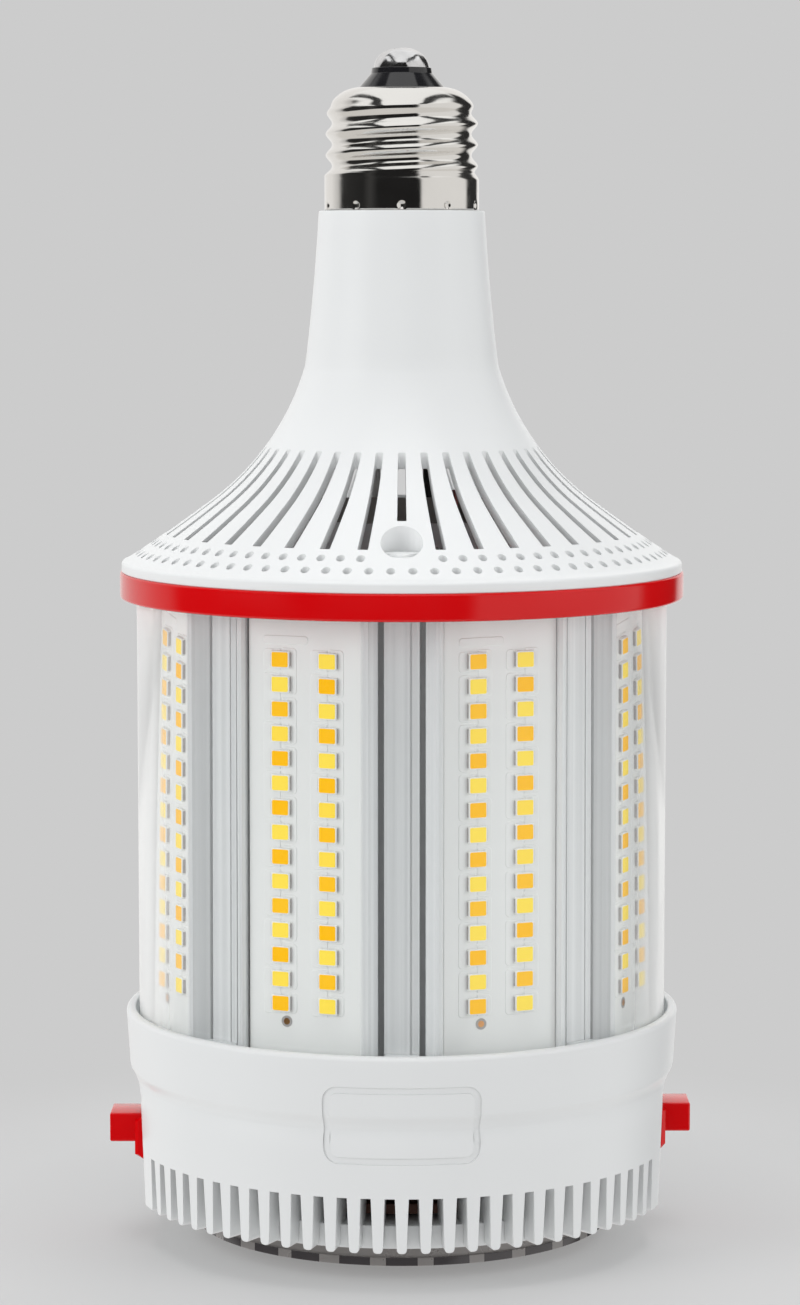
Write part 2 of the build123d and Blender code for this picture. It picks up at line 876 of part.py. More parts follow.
def make_lead(points, radius=lead_r):
    """A round lead that runs straight from point to point."""
    path = Polyline(*points)
    start = Plane(origin=points[0], z_dir=path.tangent_at(0))
    return sweep(start * Circle(radius), path=path, transition=Transition.RIGHT)


def make_live_lead():
    x, y = live_lead_x, board_face_y + lead_r
    return make_lead(
        [
            (0, 0, insulator_top_z - contact_stem_length),
            (0, 0, neck_mid_z),
            (x, y, flare_mid_z + flare_mid_rise),
            (x, y, driver_board_top_z - lead_landing),
        ]
    )


def make_neutral_lead():
    wall_x = -(skirt_r - cap_wall - slide_gap - spigot_wall - lead_r - joint_gap)
    x, y = -live_lead_x, board_face_y + lead_r
    return make_lead(
        [
            (wall_x, 0, neck_top_z + spigot_height),
            (wall_x, 0, neck_mid_z),
            (x, y, flare_mid_z + flare_mid_rise),
            (x, y, driver_board_top_z - lead_landing),
        ]
    )


def make_led_leads():
    """The pair that feeds the first LED board, over the sleeve and the heat sink's end."""
    y = -board_face_y - led_lead_r
    leads = []
    for side, x in zip((-1, 1), led_lead_x):
        azimuth = side_azimuths[0] + side * led_lead_spread
        over = turned([(0, sleeve_r + led_lead_clearance)], azimuth)[0]
        bend = turned([(0, sleeve_r + 3 * led_lead_clearance)], azimuth)[0]
        end = turned([(0, board_seat_apothem + board_thickness / 2)], azimuth)[0]
        points = [
            (x, y, sleeve_top_z - lead_landing),
            (x, y, sleeve_top_z + led_lead_clearance),
            (*over, sleeve_top_z + led_lead_clearance / 2),
            (*bend, core_top_z + led_lead_clearance),
            (*end, core_top_z + led_lead_end_rise),
        ]
        leads.append(make_lead(points, led_lead_r))
    return Compound(leads)


def countersunk_screw():
    """One upper screw, head down to its seat in the pocket's floor."""
    floor_z = ring_top_z + pocket_floor_rise
    head = Pos(0, -port_centre_r, floor_z) * Cone(
        screw_r, screw_head_r, screw_head_r - screw_r, align=(Align.CENTER, Align.CENTER, Align.MAX)
    )
    return head + post(screw_r, floor_z - screw_length, floor_z - (screw_head_r - screw_r) / 2, port_centre_r)


def pan_screw():
    """One lower screw, head up against the underside of the shelf."""
    seat_z = shelf_z - shelf_thickness
    head = post(screw_head_r, seat_z - screw_head_height, seat_z, port_centre_r)
    head = chamfer(head.edges().group_by(Axis.Z)[0], screw_head_chamfer)
    return head + post(screw_r, seat_z - screw_head_height / 2, seat_z + lower_screw_reach, port_centre_r)


def build():
    parts = {
        "centre_contact": make_contact(),
        "cap_insulator": make_insulator(),
        "screw_shell": make_screw_shell(),
        "upper_housing": make_upper_housing(),
        "trim_ring": make_trim_ring(),
        "clear_cover": make_clear_cover(),
        "heat_sink": make_heat_sink(),
        "lower_housing": make_lower_housing(),
        "base_ring": make_base_ring(),
        "end_led_board": make_end_board(),
        "end_leds": make_end_leds(),
        "end_lens": make_end_lens(),
        "control_board": make_control_board(),
        "driver_sleeve": make_driver_sleeve(),
        "driver_board": make_driver_board(),
        "transformer": make_transformer(),
        "inductor": make_inductor(),
        "capacitors": make_capacitors(),
        "power_devices": make_power_devices(),
        "live_lead": make_live_lead(),
        "neutral_lead": make_neutral_lead(),
        "led_leads": make_led_leads(),
        "upper_screws": Compound(ring_of(countersunk_screw(), upper_screw_azimuths)),
        "lower_screws": Compound(ring_of(pan_screw(), lower_screw_azimuths)),
    }
    board, board_leds = make_led_board(), make_board_leds()
    for number, azimuth in enumerate(side_azimuths, start=1):
        parts[f"led_board_{number}"] = around(board, azimuth)
        parts[f"leds_{number}"] = around(board_leds, azimuth)
    selector, switch = make_selector(), make_switch()
    for name, azimuth in selector_azimuths.items():
        parts[f"{name}_selector"] = around(selector, azimuth)
        parts[f"{name}_switch"] = around(switch, switch_azimuths[name])
        parts[f"{name}_switch_lever"] = around(make_lever(), switch_azimuths[name])
    return parts


os.makedirs("parts", exist_ok=True)
for node, shape in build().items():
    export_step(shape, f"parts/{node}.step")
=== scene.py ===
import random
from math import atan2, cos, degrees, exp, hypot, pi, radians, sin, sqrt, tan

import bmesh
import bpy
from mathutils import Matrix, Vector


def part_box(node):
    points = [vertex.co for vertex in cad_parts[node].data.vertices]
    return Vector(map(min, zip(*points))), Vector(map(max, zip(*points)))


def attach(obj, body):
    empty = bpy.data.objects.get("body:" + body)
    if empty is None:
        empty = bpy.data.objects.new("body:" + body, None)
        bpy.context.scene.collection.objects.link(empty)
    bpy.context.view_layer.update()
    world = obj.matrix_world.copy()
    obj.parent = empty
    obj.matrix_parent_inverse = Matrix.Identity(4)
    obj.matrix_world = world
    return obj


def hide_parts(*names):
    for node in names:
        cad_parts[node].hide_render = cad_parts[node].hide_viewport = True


# The looks of a screw-cap LED lamp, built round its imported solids.
# Lengths in this script are millimetres until a mesh is made, and the front is at -Y.
# An edge that turns by more than CREASE degrees looks sharp.

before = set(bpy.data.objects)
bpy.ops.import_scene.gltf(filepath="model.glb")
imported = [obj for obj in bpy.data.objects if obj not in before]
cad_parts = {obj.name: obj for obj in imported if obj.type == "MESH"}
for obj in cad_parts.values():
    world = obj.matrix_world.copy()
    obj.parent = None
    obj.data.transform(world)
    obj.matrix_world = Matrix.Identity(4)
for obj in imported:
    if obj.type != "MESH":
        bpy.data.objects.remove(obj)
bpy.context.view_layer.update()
draw = random.Random(7)

MM = 0.001
LAMP = "lamp"
CREASE = 35

# Heights and radii that the solids give
shell_low, shell_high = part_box("screw_shell")
housing_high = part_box("upper_housing")[1]
ring_low, ring_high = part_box("trim_ring")
cover_low, cover_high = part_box("clear_cover")
foot_low, foot_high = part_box("lower_housing")
contact_low, contact_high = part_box("centre_contact")
insulator_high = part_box("cap_insulator")[1]

neck_top_z = shell_low.z / MM
shoulder_z = shell_high.z / MM
skirt_r = shell_high.x / MM
thread_r = 13.1
ring_top_z = ring_high.z / MM - 0.35
rim_r = housing_high.x / MM
ring_foot_z = ring_low.z / MM
ring_r = ring_high.x / MM
cover_foot_z = cover_low.z / MM
cover_top_z = cover_high.z / MM
cover_r = cover_high.x / MM
cover_wall = 1.2
foot_z = foot_low.z / MM
collar_r = foot_high.x / MM


# Outlines

def arc_through(start, middle, end, steps):
    """Points of the circular arc through three points."""
    (ax, ay), (bx, by), (cx, cy) = start, middle, end
    d = 2 * (ax * (by - cy) + bx * (cy - ay) + cx * (ay - by))
    a2, b2, c2 = ax * ax + ay * ay, bx * bx + by * by, cx * cx + cy * cy
    ox = (a2 * (by - cy) + b2 * (cy - ay) + c2 * (ay - by)) / d
    oy = (a2 * (cx - bx) + b2 * (ax - cx) + c2 * (bx - ax)) / d
    radius = hypot(ax - ox, ay - oy)
    first, mid, last = (atan2(y - oy, x - ox) for x, y in (start, middle, end))
    turn = (last - first) % (2 * pi)
    if (mid - first) % (2 * pi) > turn:
        turn -= 2 * pi
    return [
        (ox + radius * cos(first + turn * k / steps), oy + radius * sin(first + turn * k / steps))
        for k in range(steps + 1)
    ]


def arc_from(start, along, end, steps):
    """Points of the arc that leaves start in a direction and ends at end."""
    chord = (end[0] - start[0], end[1] - start[1])
    half = atan2(along[0] * chord[1] - along[1] * chord[0], along[0] * chord[0] + along[1] * chord[1])
    length = hypot(*chord)
    bulge = length / 2 * tan(half / 2)
    unit = (chord[0] / length, chord[1] / length)
    middle = ((start[0] + end[0]) / 2 + unit[1] * bulge, (start[1] + end[1]) / 2 - unit[0] * bulge)
    return arc_through(start, middle, end, steps)


def rounded(corners, steps=5):
    """A closed outline of (x, y, radius) corners, each rounded to its radius."""
    points = []
    count = len(corners)
    for index, (x, y, radius) in enumerate(corners):
        before, after = corners[index - 1], corners[(index + 1) % count]
        if radius <= 0:
            points.append((x, y))
            continue
        u = Vector((before[0] - x, before[1] - y)).normalized()
        v = Vector((after[0] - x, after[1] - y)).normalized()
        angle = u.angle(v)
        back = radius / tan(angle / 2)
        centre = Vector((x, y)) + (u + v).normalized() * (radius / sin(angle / 2))
        first = Vector((x, y)) + u * back - centre
        last = Vector((x, y)) + v * back - centre
        start = atan2(first.y, first.x)
        turn = (atan2(last.y, last.x) - start + pi) % (2 * pi) - pi
        for k in range(steps + 1):
            a = start + turn * k / steps
            points.append((centre.x + radius * cos(a), centre.y + radius * sin(a)))
    return points


def offset_inside(points, wall):
    """A curve set in from a downward outline by a wall's thickness."""
    inner = []
    for index, (x, y) in enumerate(points):
        px, py = points[max(index - 1, 0)]
        nx, ny = points[min(index + 1, len(points) - 1)]
        length = hypot(nx - px, ny - py)
        inner.append((x + wall * (ny - py) / length, y - wall * (nx - px) / length))
    return inner


def height_at(points, radius):
    """The height of an outline of (radius, height) points at a radius."""
    for (r0, z0), (r1, z1) in zip(points, points[1:]):
        if min(r0, r1) <= radius <= max(r0, r1) and r0 != r1:
            return z0 + (z1 - z0) * (radius - r0) / (r1 - r0)
    return points[-1][1]


# Meshes

def new_mesh(name, points, faces, materials, face_materials=None):
    mesh = bpy.data.meshes.new(name)
    mesh.from_pydata([(x * MM, y * MM, z * MM) for x, y, z in points], [], faces)
    for material in materials:
        mesh.materials.append(material)
    if face_materials:
        mesh.polygons.foreach_set("material_index", face_materials)
    return mesh


def new_object(name, data):
    made = bpy.data.objects.new(name, data)
    bpy.context.scene.collection.objects.link(made)
    return made


def mesh_object(name, points, faces, materials, crease=CREASE, face_materials=None):
    made = new_object(name, new_mesh(name, points, faces, materials, face_materials))
    close_up(made.data, 2e-7)
    shade(made, crease)
    return made


def close_up(mesh, gap=0.0):
    """Turns every face outwards, after merging the points that lie within a gap."""
    bm = bmesh.new()
    bm.from_mesh(mesh)
    if gap:
        bmesh.ops.remove_doubles(bm, verts=bm.verts, dist=gap)
    bmesh.ops.recalc_face_normals(bm, faces=bm.faces)
    bm.to_mesh(mesh)
    bm.free()


def shade(made, crease):
    made.data.polygons.foreach_set("use_smooth", [True] * len(made.data.polygons))
    made.data.set_sharp_from_angle(angle=radians(crease))
    made.data.update()


def lathe_mesh(outline, segments, first=0.0, last=360.0):
    """Points and faces of a closed (radius, height) outline turned from one azimuth to another."""
    whole = last - first >= 360
    rings = segments if whole else segments + 1
    points, faces = [], []
    for k in range(rings):
        a = radians(first + (last - first) * k / segments)
        points += [(r * sin(a), -r * cos(a), z) for r, z in outline]
    count = len(outline)
    for k in range(segments):
        low, high = k * count, (k + 1) % rings * count
        for i in range(count):
            j = (i + 1) % count
            if outline[i][0] == 0 and outline[j][0] == 0:
                continue
            corners = [low + i, low + j, high + j, high + i]
            if outline[i][0] == 0:
                corners = [low + i, low + j, high + j]
            elif outline[j][0] == 0:
                corners = [low + i, low + j, high + i]
            faces.append(corners)
    if not whole:
        faces.append(list(range(count)))
        faces.append([segments * count + i for i in reversed(range(count))])
    return points, faces


def lathe(name, outline, material, segments):
    return mesh_object(name, *lathe_mesh(outline, segments), [material])


def loop_faces(base, after, count):
    """Faces between two closed loops of points."""
    return [[base + i, base + (i + 1) % count, after + (i + 1) % count, after + i] for i in range(count)]


def prism_faces(count):
    """Faces between two closed loops of points, and over both."""
    return loop_faces(0, count, count) + [list(reversed(range(count))), [count + i for i in range(count)]]


def prism_mesh(outline, low, high):
    """Points and faces of an upright prism over an (x, y) outline."""
    points = [(x, y, low) for x, y in outline] + [(x, y, high) for x, y in outline]
    return points, prism_faces(len(outline))


def rectangle(left, right, low, high):
    return [(left, low), (right, low), (right, high), (left, high)]


def disc(radius, sides=20, centre=(0, 0)):
    return [
        (centre[0] + radius * cos(2 * pi * k / sides), centre[1] + radius * sin(2 * pi * k / sides))
        for k in range(sides)
    ]


def turned(points, azimuth):
    a = radians(azimuth)
    return [(x * cos(a) - y * sin(a), x * sin(a) + y * cos(a), z) for x, y, z in points]


class Batch:
    """Several closed meshes gathered in one."""

    def __init__(self):
        self.points, self.faces, self.marks = [], [], []

    def add(self, mesh, azimuth=0.0, shift=(0, 0, 0), mark=0):
        points, faces = mesh
        base = len(self.points)
        moved = [(x + shift[0], y + shift[1], z + shift[2]) for x, y, z in points]
        self.points += turned(moved, azimuth)
        self.faces += [[base + i for i in face] for face in faces]
        self.marks += mark if isinstance(mark, list) else [mark] * len(faces)
        return self

    def build(self, name, materials):
        return mesh_object(name, self.points, self.faces, materials, face_materials=self.marks)


def carve(body, batch, operation="DIFFERENCE"):
    """Cuts an object with a batch, or joins them, and keeps the result as a plain mesh."""
    cutter = batch.build("cutter", [body.data.materials[0]])
    modifier = body.modifiers.new("carve", "BOOLEAN")
    modifier.operation = operation
    modifier.solver = "MANIFOLD"
    modifier.object = cutter
    cutter.hide_render = True
    evaluated = body.evaluated_get(bpy.context.evaluated_depsgraph_get())
    mesh = bpy.data.meshes.new_from_object(evaluated)
    body.modifiers.clear()
    body.data = mesh
    bpy.data.objects.remove(cutter)
    shade(body, CREASE)


def repeated(mesh, azimuths):
    """One mesh at each of several azimuths, in one batch."""
    batch = Batch()
    for azimuth in azimuths:
        batch.add(mesh, azimuth)
    return batch


def box_mesh(size, centre, bevel=0.0, steps=2):
    """A box with rounded edges, by size and centre."""
    bm = bmesh.new()
    bmesh.ops.create_cube(bm, size=1.0)
    bmesh.ops.scale(bm, vec=size, verts=bm.verts)
    if bevel:
        bmesh.ops.bevel(bm, geom=bm.edges[:], offset=bevel, segments=steps, profile=0.5, affect="EDGES")
    bmesh.ops.translate(bm, vec=centre, verts=bm.verts)
    bm.verts.index_update()
    points = [tuple(v.co) for v in bm.verts]
    faces = [[v.index for v in face.verts] for face in bm.faces]
    bm.free()
    return points, faces


def settle(made, nodes, body=LAMP):
    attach(made, body)
    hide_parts(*nodes)
    return made


# Materials

def set_sockets(node, values):
    for key, value in values.items():
        node.inputs[key].default_value = value


def node_of(tree, kind, sockets=None, **settings):
    node = tree.nodes.new(kind)
    for key, value in settings.items():
        setattr(node, key, value)
    set_sockets(node, sockets or {})
    return node


def grey(level):
    return (level, level, level, 1)


def noise(tree, coordinates, scale, detail=3.0, stretch=(1, 1, 1)):
    mapping = node_of(tree, "ShaderNodeMapping", {"Scale": stretch})
    tree.links.new(coordinates, mapping.inputs["Vector"])
    texture = node_of(tree, "ShaderNodeTexNoise", {"Scale": scale, "Detail": detail})
    tree.links.new(mapping.outputs["Vector"], texture.inputs["Vector"])
    return texture.outputs["Fac"]


def map_range(tree, value, first, last, low=0.0, high=1.0, kind="SMOOTHSTEP"):
    """The run of a value from first to last, as a run from low to high."""
    run = {"From Min": first, "From Max": last, "To Min": low, "To Max": high}
    node = node_of(tree, "ShaderNodeMapRange", run, interpolation_type=kind)
    tree.links.new(value, node.inputs["Value"])
    return node.outputs["Result"]


def spread_noise(tree, value, low, high):
    """Noise, most of which lies from 0.3 to 0.7, as a run from low to high."""
    return map_range(tree, value, 0.3, 0.7, low, high, "LINEAR")


def blend_colours(tree, factor, first, second):
    mix = node_of(tree, "ShaderNodeMix", data_type="RGBA")
    for socket, value in ((mix.inputs[6], first), (mix.inputs[7], second)):
        if isinstance(value, bpy.types.NodeSocket):
            tree.links.new(value, socket)
        else:
            socket.default_value = (*value, 1.0)
    tree.links.new(factor, mix.inputs[0])
    return mix.outputs[2]


def light_path(tree, *kinds):
    """1 for rays of any of the named kinds."""
    paths = node_of(tree, "ShaderNodeLightPath")
    found = paths.outputs[kinds[0]]
    for kind in kinds[1:]:
        either = node_of(tree, "ShaderNodeMath", operation="MAXIMUM")
        tree.links.new(found, either.inputs[0])
        tree.links.new(paths.outputs[kind], either.inputs[1])
        found = either.outputs[0]
    return found


def mixed(tree, factor, first, second):
    mix = node_of(tree, "ShaderNodeMixShader")
    tree.links.new(factor, mix.inputs[0])
    tree.links.new(first, mix.inputs[1])
    tree.links.new(second, mix.inputs[2])
    return mix.outputs[0]


def calculate(tree, operation, *values):
    node = node_of(tree, "ShaderNodeMath", operation=operation)
    for socket, value in zip(node.inputs, values):
        if isinstance(value, bpy.types.NodeSocket):
            tree.links.new(value, socket)
        else:
            socket.default_value = value
    return node.outputs[0]


def new_material(name):
    material = bpy.data.materials.new(name)
    material.use_nodes = True
    tree = material.node_tree
    return material, tree, tree.nodes["Principled BSDF"]


def finish_material(
    name, colour, roughness, metallic=0.0, spread=0.03, mottle=60.0, rough_spread=0.05,
    grain=(900.0, 0.08), stretch=(1, 1, 1), edge=0.0, sockets=None,
):
    """A surface with slight colour and gloss variation, fine grain and softened edges."""
    material, tree, shader = new_material(name)
    coordinates = node_of(tree, "ShaderNodeTexCoord").outputs["Object"]
    darker = tuple(c * (1 - spread) for c in colour)
    lighter = tuple(min(c * (1 + spread), 1.0) for c in colour)
    patches = noise(tree, coordinates, mottle, 4.0, stretch)
    tree.links.new(blend_colours(tree, patches, darker, lighter), shader.inputs["Base Color"])
    wear = noise(tree, coordinates, mottle * 3.1, 5.0, stretch)
    low, high = max(roughness - rough_spread, 0.0), roughness + rough_spread
    tree.links.new(spread_noise(tree, wear, low, high), shader.inputs["Roughness"])
    set_sockets(shader, {"Metallic": metallic, **(sockets or {})})
    bump = node_of(tree, "ShaderNodeBump", {"Strength": grain[1], "Distance": 0.0001})
    tree.links.new(noise(tree, coordinates, grain[0], 3.0, stretch), bump.inputs["Height"])
    if edge:
        bevel = node_of(tree, "ShaderNodeBevel", {"Radius": edge * MM}, samples=4)
        tree.links.new(bevel.outputs["Normal"], bump.inputs["Normal"])
    tree.links.new(bump.outputs["Normal"], shader.inputs["Normal"])
    return material


def clear_material(name, tint, ior, roughness, edge_sheen_share):
    """Clear plastic that lets light through to what it covers, with a painted milky sheen where it is seen
    edge on, in place of the bright reflection at its edges.
    """
    material, tree, shader = new_material(name)
    set_sockets(shader, {"Base Color": (*tint, 1.0), "Transmission Weight": 1.0, "IOR": ior})
    coordinates = node_of(tree, "ShaderNodeTexCoord").outputs["Object"]
    wear = noise(tree, coordinates, 35.0, 5.0)
    tree.links.new(spread_noise(tree, wear, roughness * 0.3, roughness), shader.inputs["Roughness"])
    bump = node_of(tree, "ShaderNodeBump", {"Strength": 0.05, "Distance": 0.0001})
    tree.links.new(noise(tree, coordinates, 45.0, 1.0, (1, 1, 0.08)), bump.inputs["Height"])
    tree.links.new(bump.outputs["Normal"], shader.inputs["Normal"])
    pass_through = node_of(tree, "ShaderNodeBsdfTransparent", {"Color": (*tint, 1.0)})
    # Painted sheen: a white diffuse layer, mixed in where the tube is seen edge on, stands for the bright
    # reflection along its edges.
    painted_edge_sheen = node_of(tree, "ShaderNodeBsdfDiffuse", {"Color": (0.9, 0.9, 0.89, 1.0)})
    facing = node_of(tree, "ShaderNodeLayerWeight").outputs["Facing"]
    edge_on = map_range(tree, facing, 0.42, 0.78, high=edge_sheen_share)
    with_edge_sheen = mixed(tree, edge_on, shader.outputs[0], painted_edge_sheen.outputs[0])
    lighting = light_path(tree, "Is Shadow Ray", "Is Diffuse Ray")
    surface = mixed(tree, lighting, with_edge_sheen, pass_through.outputs[0])
    tree.links.new(surface, tree.nodes["Material Output"].inputs["Surface"])
    return material


def phosphor_material(name):
    """Phosphor gel, from yellow to orange by each package's tone, with a faint painted glow of its own
    colour.
    """
    material = finish_material(
        name, (0.9, 0.6, 0.1), 0.45, grain=(2500.0, 0.2), mottle=800.0, rough_spread=0.08,
        sockets={"Specular IOR Level": 0.18},
    )
    tree = material.node_tree
    shader = tree.nodes["Principled BSDF"]
    tone = node_of(tree, "ShaderNodeAttribute", attribute_name="tone")
    ramp = node_of(tree, "ShaderNodeValToRGB")
    ramp.color_ramp.elements[0].color = (1.0, 0.74, 0.08, 1.0)
    ramp.color_ramp.elements[1].color = (1.0, 0.505, 0.0, 1.0)
    tree.links.new(tone.outputs["Fac"], ramp.inputs["Fac"])
    coordinates = node_of(tree, "ShaderNodeTexCoord").outputs["Object"]
    grains = noise(tree, coordinates, 1500.0, 2.0)
    share = spread_noise(tree, grains, 0.0, 0.035)
    faded = blend_colours(tree, share, ramp.outputs["Color"], (1.0, 0.8, 0.35))
    tree.links.new(faded, shader.inputs["Base Color"])
    # Painted glow: the unlit phosphor gives off a faint light of its own colour, which brightens it.
    tree.links.new(ramp.outputs["Color"], shader.inputs["Emission Color"])
    shader.inputs["Emission Strength"].default_value = 0.16
    return material


white_plastic = finish_material(
    "white_plastic", (0.80, 0.81, 0.81), 0.34, spread=0.012, mottle=25.0, rough_spread=0.03,
    grain=(1400.0, 0.05), edge=0.12, sockets={"Specular IOR Level": 0.45},
)
sleeve_plastic = finish_material(
    "sleeve_plastic", (0.78, 0.79, 0.80), 0.25, spread=0.01, mottle=25.0, grain=(1200.0, 0.04),
    sockets={"Transmission Weight": 0.35, "IOR": 1.45},
)
red_plastic = finish_material(
    "red_plastic", (0.66, 0.0012, 0.003), 0.13, spread=0.03, mottle=40.0, rough_spread=0.03,
    grain=(900.0, 0.03), edge=0.12, sockets={"Specular IOR Level": 0.4},
)
clear_plastic = clear_material("clear_plastic", (0.985, 0.995, 0.995), 1.36, 0.02, 0.7)
nickel = finish_material(
    "nickel_plate", (0.76, 0.745, 0.72), 0.12, metallic=1.0, spread=0.06, mottle=90.0,
    rough_spread=0.06, grain=(700.0, 0.06),
)
solder = finish_material(
    "solder", (0.68, 0.68, 0.69), 0.17, metallic=1.0, spread=0.25, mottle=450.0,
    rough_spread=0.08, grain=(420.0, 1.0),
)
black_gloss = finish_material(
    "black_gloss", (0.012, 0.012, 0.014), 0.12, spread=0.15, mottle=120.0, rough_spread=0.05,
    grain=(500.0, 0.06), sockets={"Coat Weight": 0.3, "Coat Roughness": 0.04},
)
aluminium = finish_material(
    "drawn_aluminium", (0.96, 0.965, 0.97), 0.40, metallic=0.15, spread=0.34, mottle=900.0,
    rough_spread=0.06, grain=(1500.0, 0.5), stretch=(1, 1, 0.004),
)
board_edge = finish_material(
    "board_edge", (0.66, 0.66, 0.65), 0.42, metallic=0.8, spread=0.1, mottle=700.0,
    grain=(1500.0, 0.3), stretch=(1, 1, 0.1),
)
phosphor_with_painted_glow = phosphor_material("phosphor_with_painted_glow")
smoky = finish_material(
    "smoky_plastic", (0.34, 0.32, 0.31), 0.3, spread=0.06, mottle=80.0, rough_spread=0.06,
    grain=(600.0, 0.12), edge=0.1, sockets={"Transmission Weight": 0.35, "IOR": 1.49},
)
copper_wire = finish_material(
    "enamelled_copper", (0.58, 0.24, 0.1), 0.28, metallic=0.9, spread=0.15, mottle=700.0,
    grain=(1200.0, 0.3), stretch=(1, 0.1, 1),
)
steel = finish_material(
    "zinc_steel", (0.62, 0.61, 0.58), 0.3, metallic=1.0, spread=0.1, mottle=400.0,
    rough_spread=0.1, grain=(1500.0, 0.2),
)
# Plain finishes: colour, roughness, metallic, spread of the colour, mottle, and grain's scale and strength
plain_finishes = {
    "white_solder_mask": ((0.89, 0.885, 0.87), 0.38, 0.0, 0.02, 90.0, (1800.0, 0.06)),
    "package_white": ((0.90, 0.89, 0.86), 0.4, 0.0, 0.02, 400.0, (3000.0, 0.08)),
    "package_terminal": ((0.46, 0.43, 0.42), 0.4, 0.15, 0.25, 900.0, (2500.0, 0.2)),
    "copper_pad": ((0.83, 0.42, 0.17), 0.35, 0.9, 0.12, 900.0, (1800.0, 0.2)),
    "smoky_edge": ((0.055, 0.05, 0.052), 0.16, 0.0, 0.2, 120.0, (600.0, 0.08)),
    "phenolic_board": ((0.19, 0.085, 0.06), 0.5, 0.0, 0.2, 300.0, (1500.0, 0.25)),
    "driver_board": ((0.34, 0.32, 0.30), 0.45, 0.0, 0.18, 250.0, (1500.0, 0.2)),
    "black_moulding": ((0.02, 0.02, 0.021), 0.42, 0.0, 0.12, 80.0, (1300.0, 0.15)),
    "ferrite": ((0.07, 0.07, 0.075), 0.5, 0.0, 0.15, 500.0, (2000.0, 0.3)),
    "can_sleeve": ((0.35, 0.36, 0.38), 0.35, 0.0, 0.1, 200.0, (900.0, 0.1)),
    "lead_black": ((0.02, 0.02, 0.02), 0.45, 0.0, 0.1, 200.0, (900.0, 0.15)),
    "lead_white": ((0.75, 0.75, 0.73), 0.45, 0.0, 0.04, 200.0, (900.0, 0.15)),
    "lead_red": ((0.5, 0.02, 0.015), 0.45, 0.0, 0.08, 200.0, (900.0, 0.15)),
}
plain = {
    name: finish_material(name, colour, roughness, metallic, spread, mottle, grain=grain)
    for name, (colour, roughness, metallic, spread, mottle, grain) in plain_finishes.items()
}


# Screw cap

thread_pitch = 3.629
thread_depth = 1.1
thread_phase_z = 193.4
shell_wall = 0.45
thread_foot_z, thread_top_z = 184.6, 193.9
crown_r = 7.5
dimple_z, dimple_r, dimple_count, dimple_depth = 179.3, 0.62, 10, 0.42
cap_crease = 60
shoulder_mid = (crown_r + 0.73 * (thread_r - crown_r), shoulder_z - 1.9)


def smooth_step(value, low, high):
    t = min(max((value - low) / (high - low), 0.0), 1.0)
    return t * t * (3 - 2 * t)


def make_screw_shell():
    """The rolled shell: punched skirt, right-hand thread and rounded shoulder."""
    crown = arc_through((thread_r, thread_top_z), shoulder_mid, (crown_r, shoulder_z), 22)
    path = [(skirt_r - 0.25, neck_top_z), (skirt_r - 0.03, neck_top_z + 0.12), (skirt_r, neck_top_z + 0.35)]
    z = neck_top_z + 0.6
    while z < thread_top_z - 0.05:
        share = smooth_step(z, thread_foot_z, thread_foot_z + 0.4)
        path.append((skirt_r - (skirt_r - thread_r) * share, z))
        z += 0.17
    path += crown
    points, faces = lathe_mesh(path + offset_inside(list(reversed(path)), shell_wall), 300)
    shaped = []
    for x, y, z in points:
        r = hypot(x, y)
        azimuth = atan2(x, -y)
        depth = thread_depth * smooth_step(z, 183.6, 185.6) * (1 - smooth_step(z, 194.6, 197.4))
        crest_z = thread_phase_z + thread_pitch * (azimuth - pi / 2) / (2 * pi)
        wave = 0.5 - 0.5 * cos(2 * pi * (z - crest_z) / thread_pitch)
        cut = depth * wave**0.85
        step = 2 * pi / dimple_count
        across = ((azimuth + step / 2) % step - step / 2) * skirt_r
        near = exp(-((across / dimple_r) ** 2 + ((z - dimple_z) / dimple_r) ** 2) ** 1.6)
        cut += dimple_depth * near
        scale = (r - cut) / r
        shaped.append((x * scale, y * scale, z))
    shell = mesh_object("screw_cap_shell", shaped, faces, [nickel], cap_crease)
    return settle(shell, ["screw_shell"])


def make_insulator():
    seat = 7.4
    top = insulator_high.z / MM
    outline = rounded(
        [
            (1.55, shoulder_z - 5.5, 0), (10.8, shoulder_z - 5.5, 0), (10.8, shoulder_z - 3.5, 0),
            (seat, shoulder_z - 0.9, 0), (seat, shoulder_z, 0.15), (5.3, top, 0.2), (5.16, top + 0.95, 0.12),
            (4.84, top + 0.95, 0.08), (4.84, top, 0), (1.55, top, 0),
        ]
    )
    return settle(lathe("cap_glass", outline, black_gloss, 160), ["cap_insulator"])


def make_contact():
    """The contact rivet under its uneven dome of solder."""
    top = contact_high.z / MM
    rim_z = insulator_high.z / MM
    rise = top - rim_z - 0.95
    dome = [(r, rim_z + 0.95 + rise * (1 - (r / 4.8) ** 2.6) ** 0.55) for r in
            (4.79, 4.76, 4.7, 4.6, 4.4, 4.1, 3.7, 3.2, 2.6, 2.0, 1.4, 0.8, 0.35)]
    outline = [(0.0, contact_low.z / MM), (1.45, contact_low.z / MM), (1.45, rim_z), (4.55, rim_z),
               (4.75, rim_z + 0.2), (4.79, rim_z + 0.5), *dome, (0.0, top)]
    points, faces = lathe_mesh(outline, 96)
    shaped = []
    for x, y, z in points:
        lift = smooth_step(z, rim_z + 0.3, rim_z + 1.6)
        swell = 0.13 * sin(1.3 * x + 0.6) * cos(1.1 * y - 0.4) + 0.07 * sin(2.3 * y + x)
        centre_pip = 0.12 * exp(-(((x - 0.5) ** 2 + (y + 0.4) ** 2) / 0.9))
        shaped.append((x, y, min(z + lift * (swell - 0.14 + centre_pip), top)))
    contact = mesh_object("contact_dome", shaped, faces, [solder], cap_crease)
    return settle(contact, ["centre_contact"])


# Upper housing

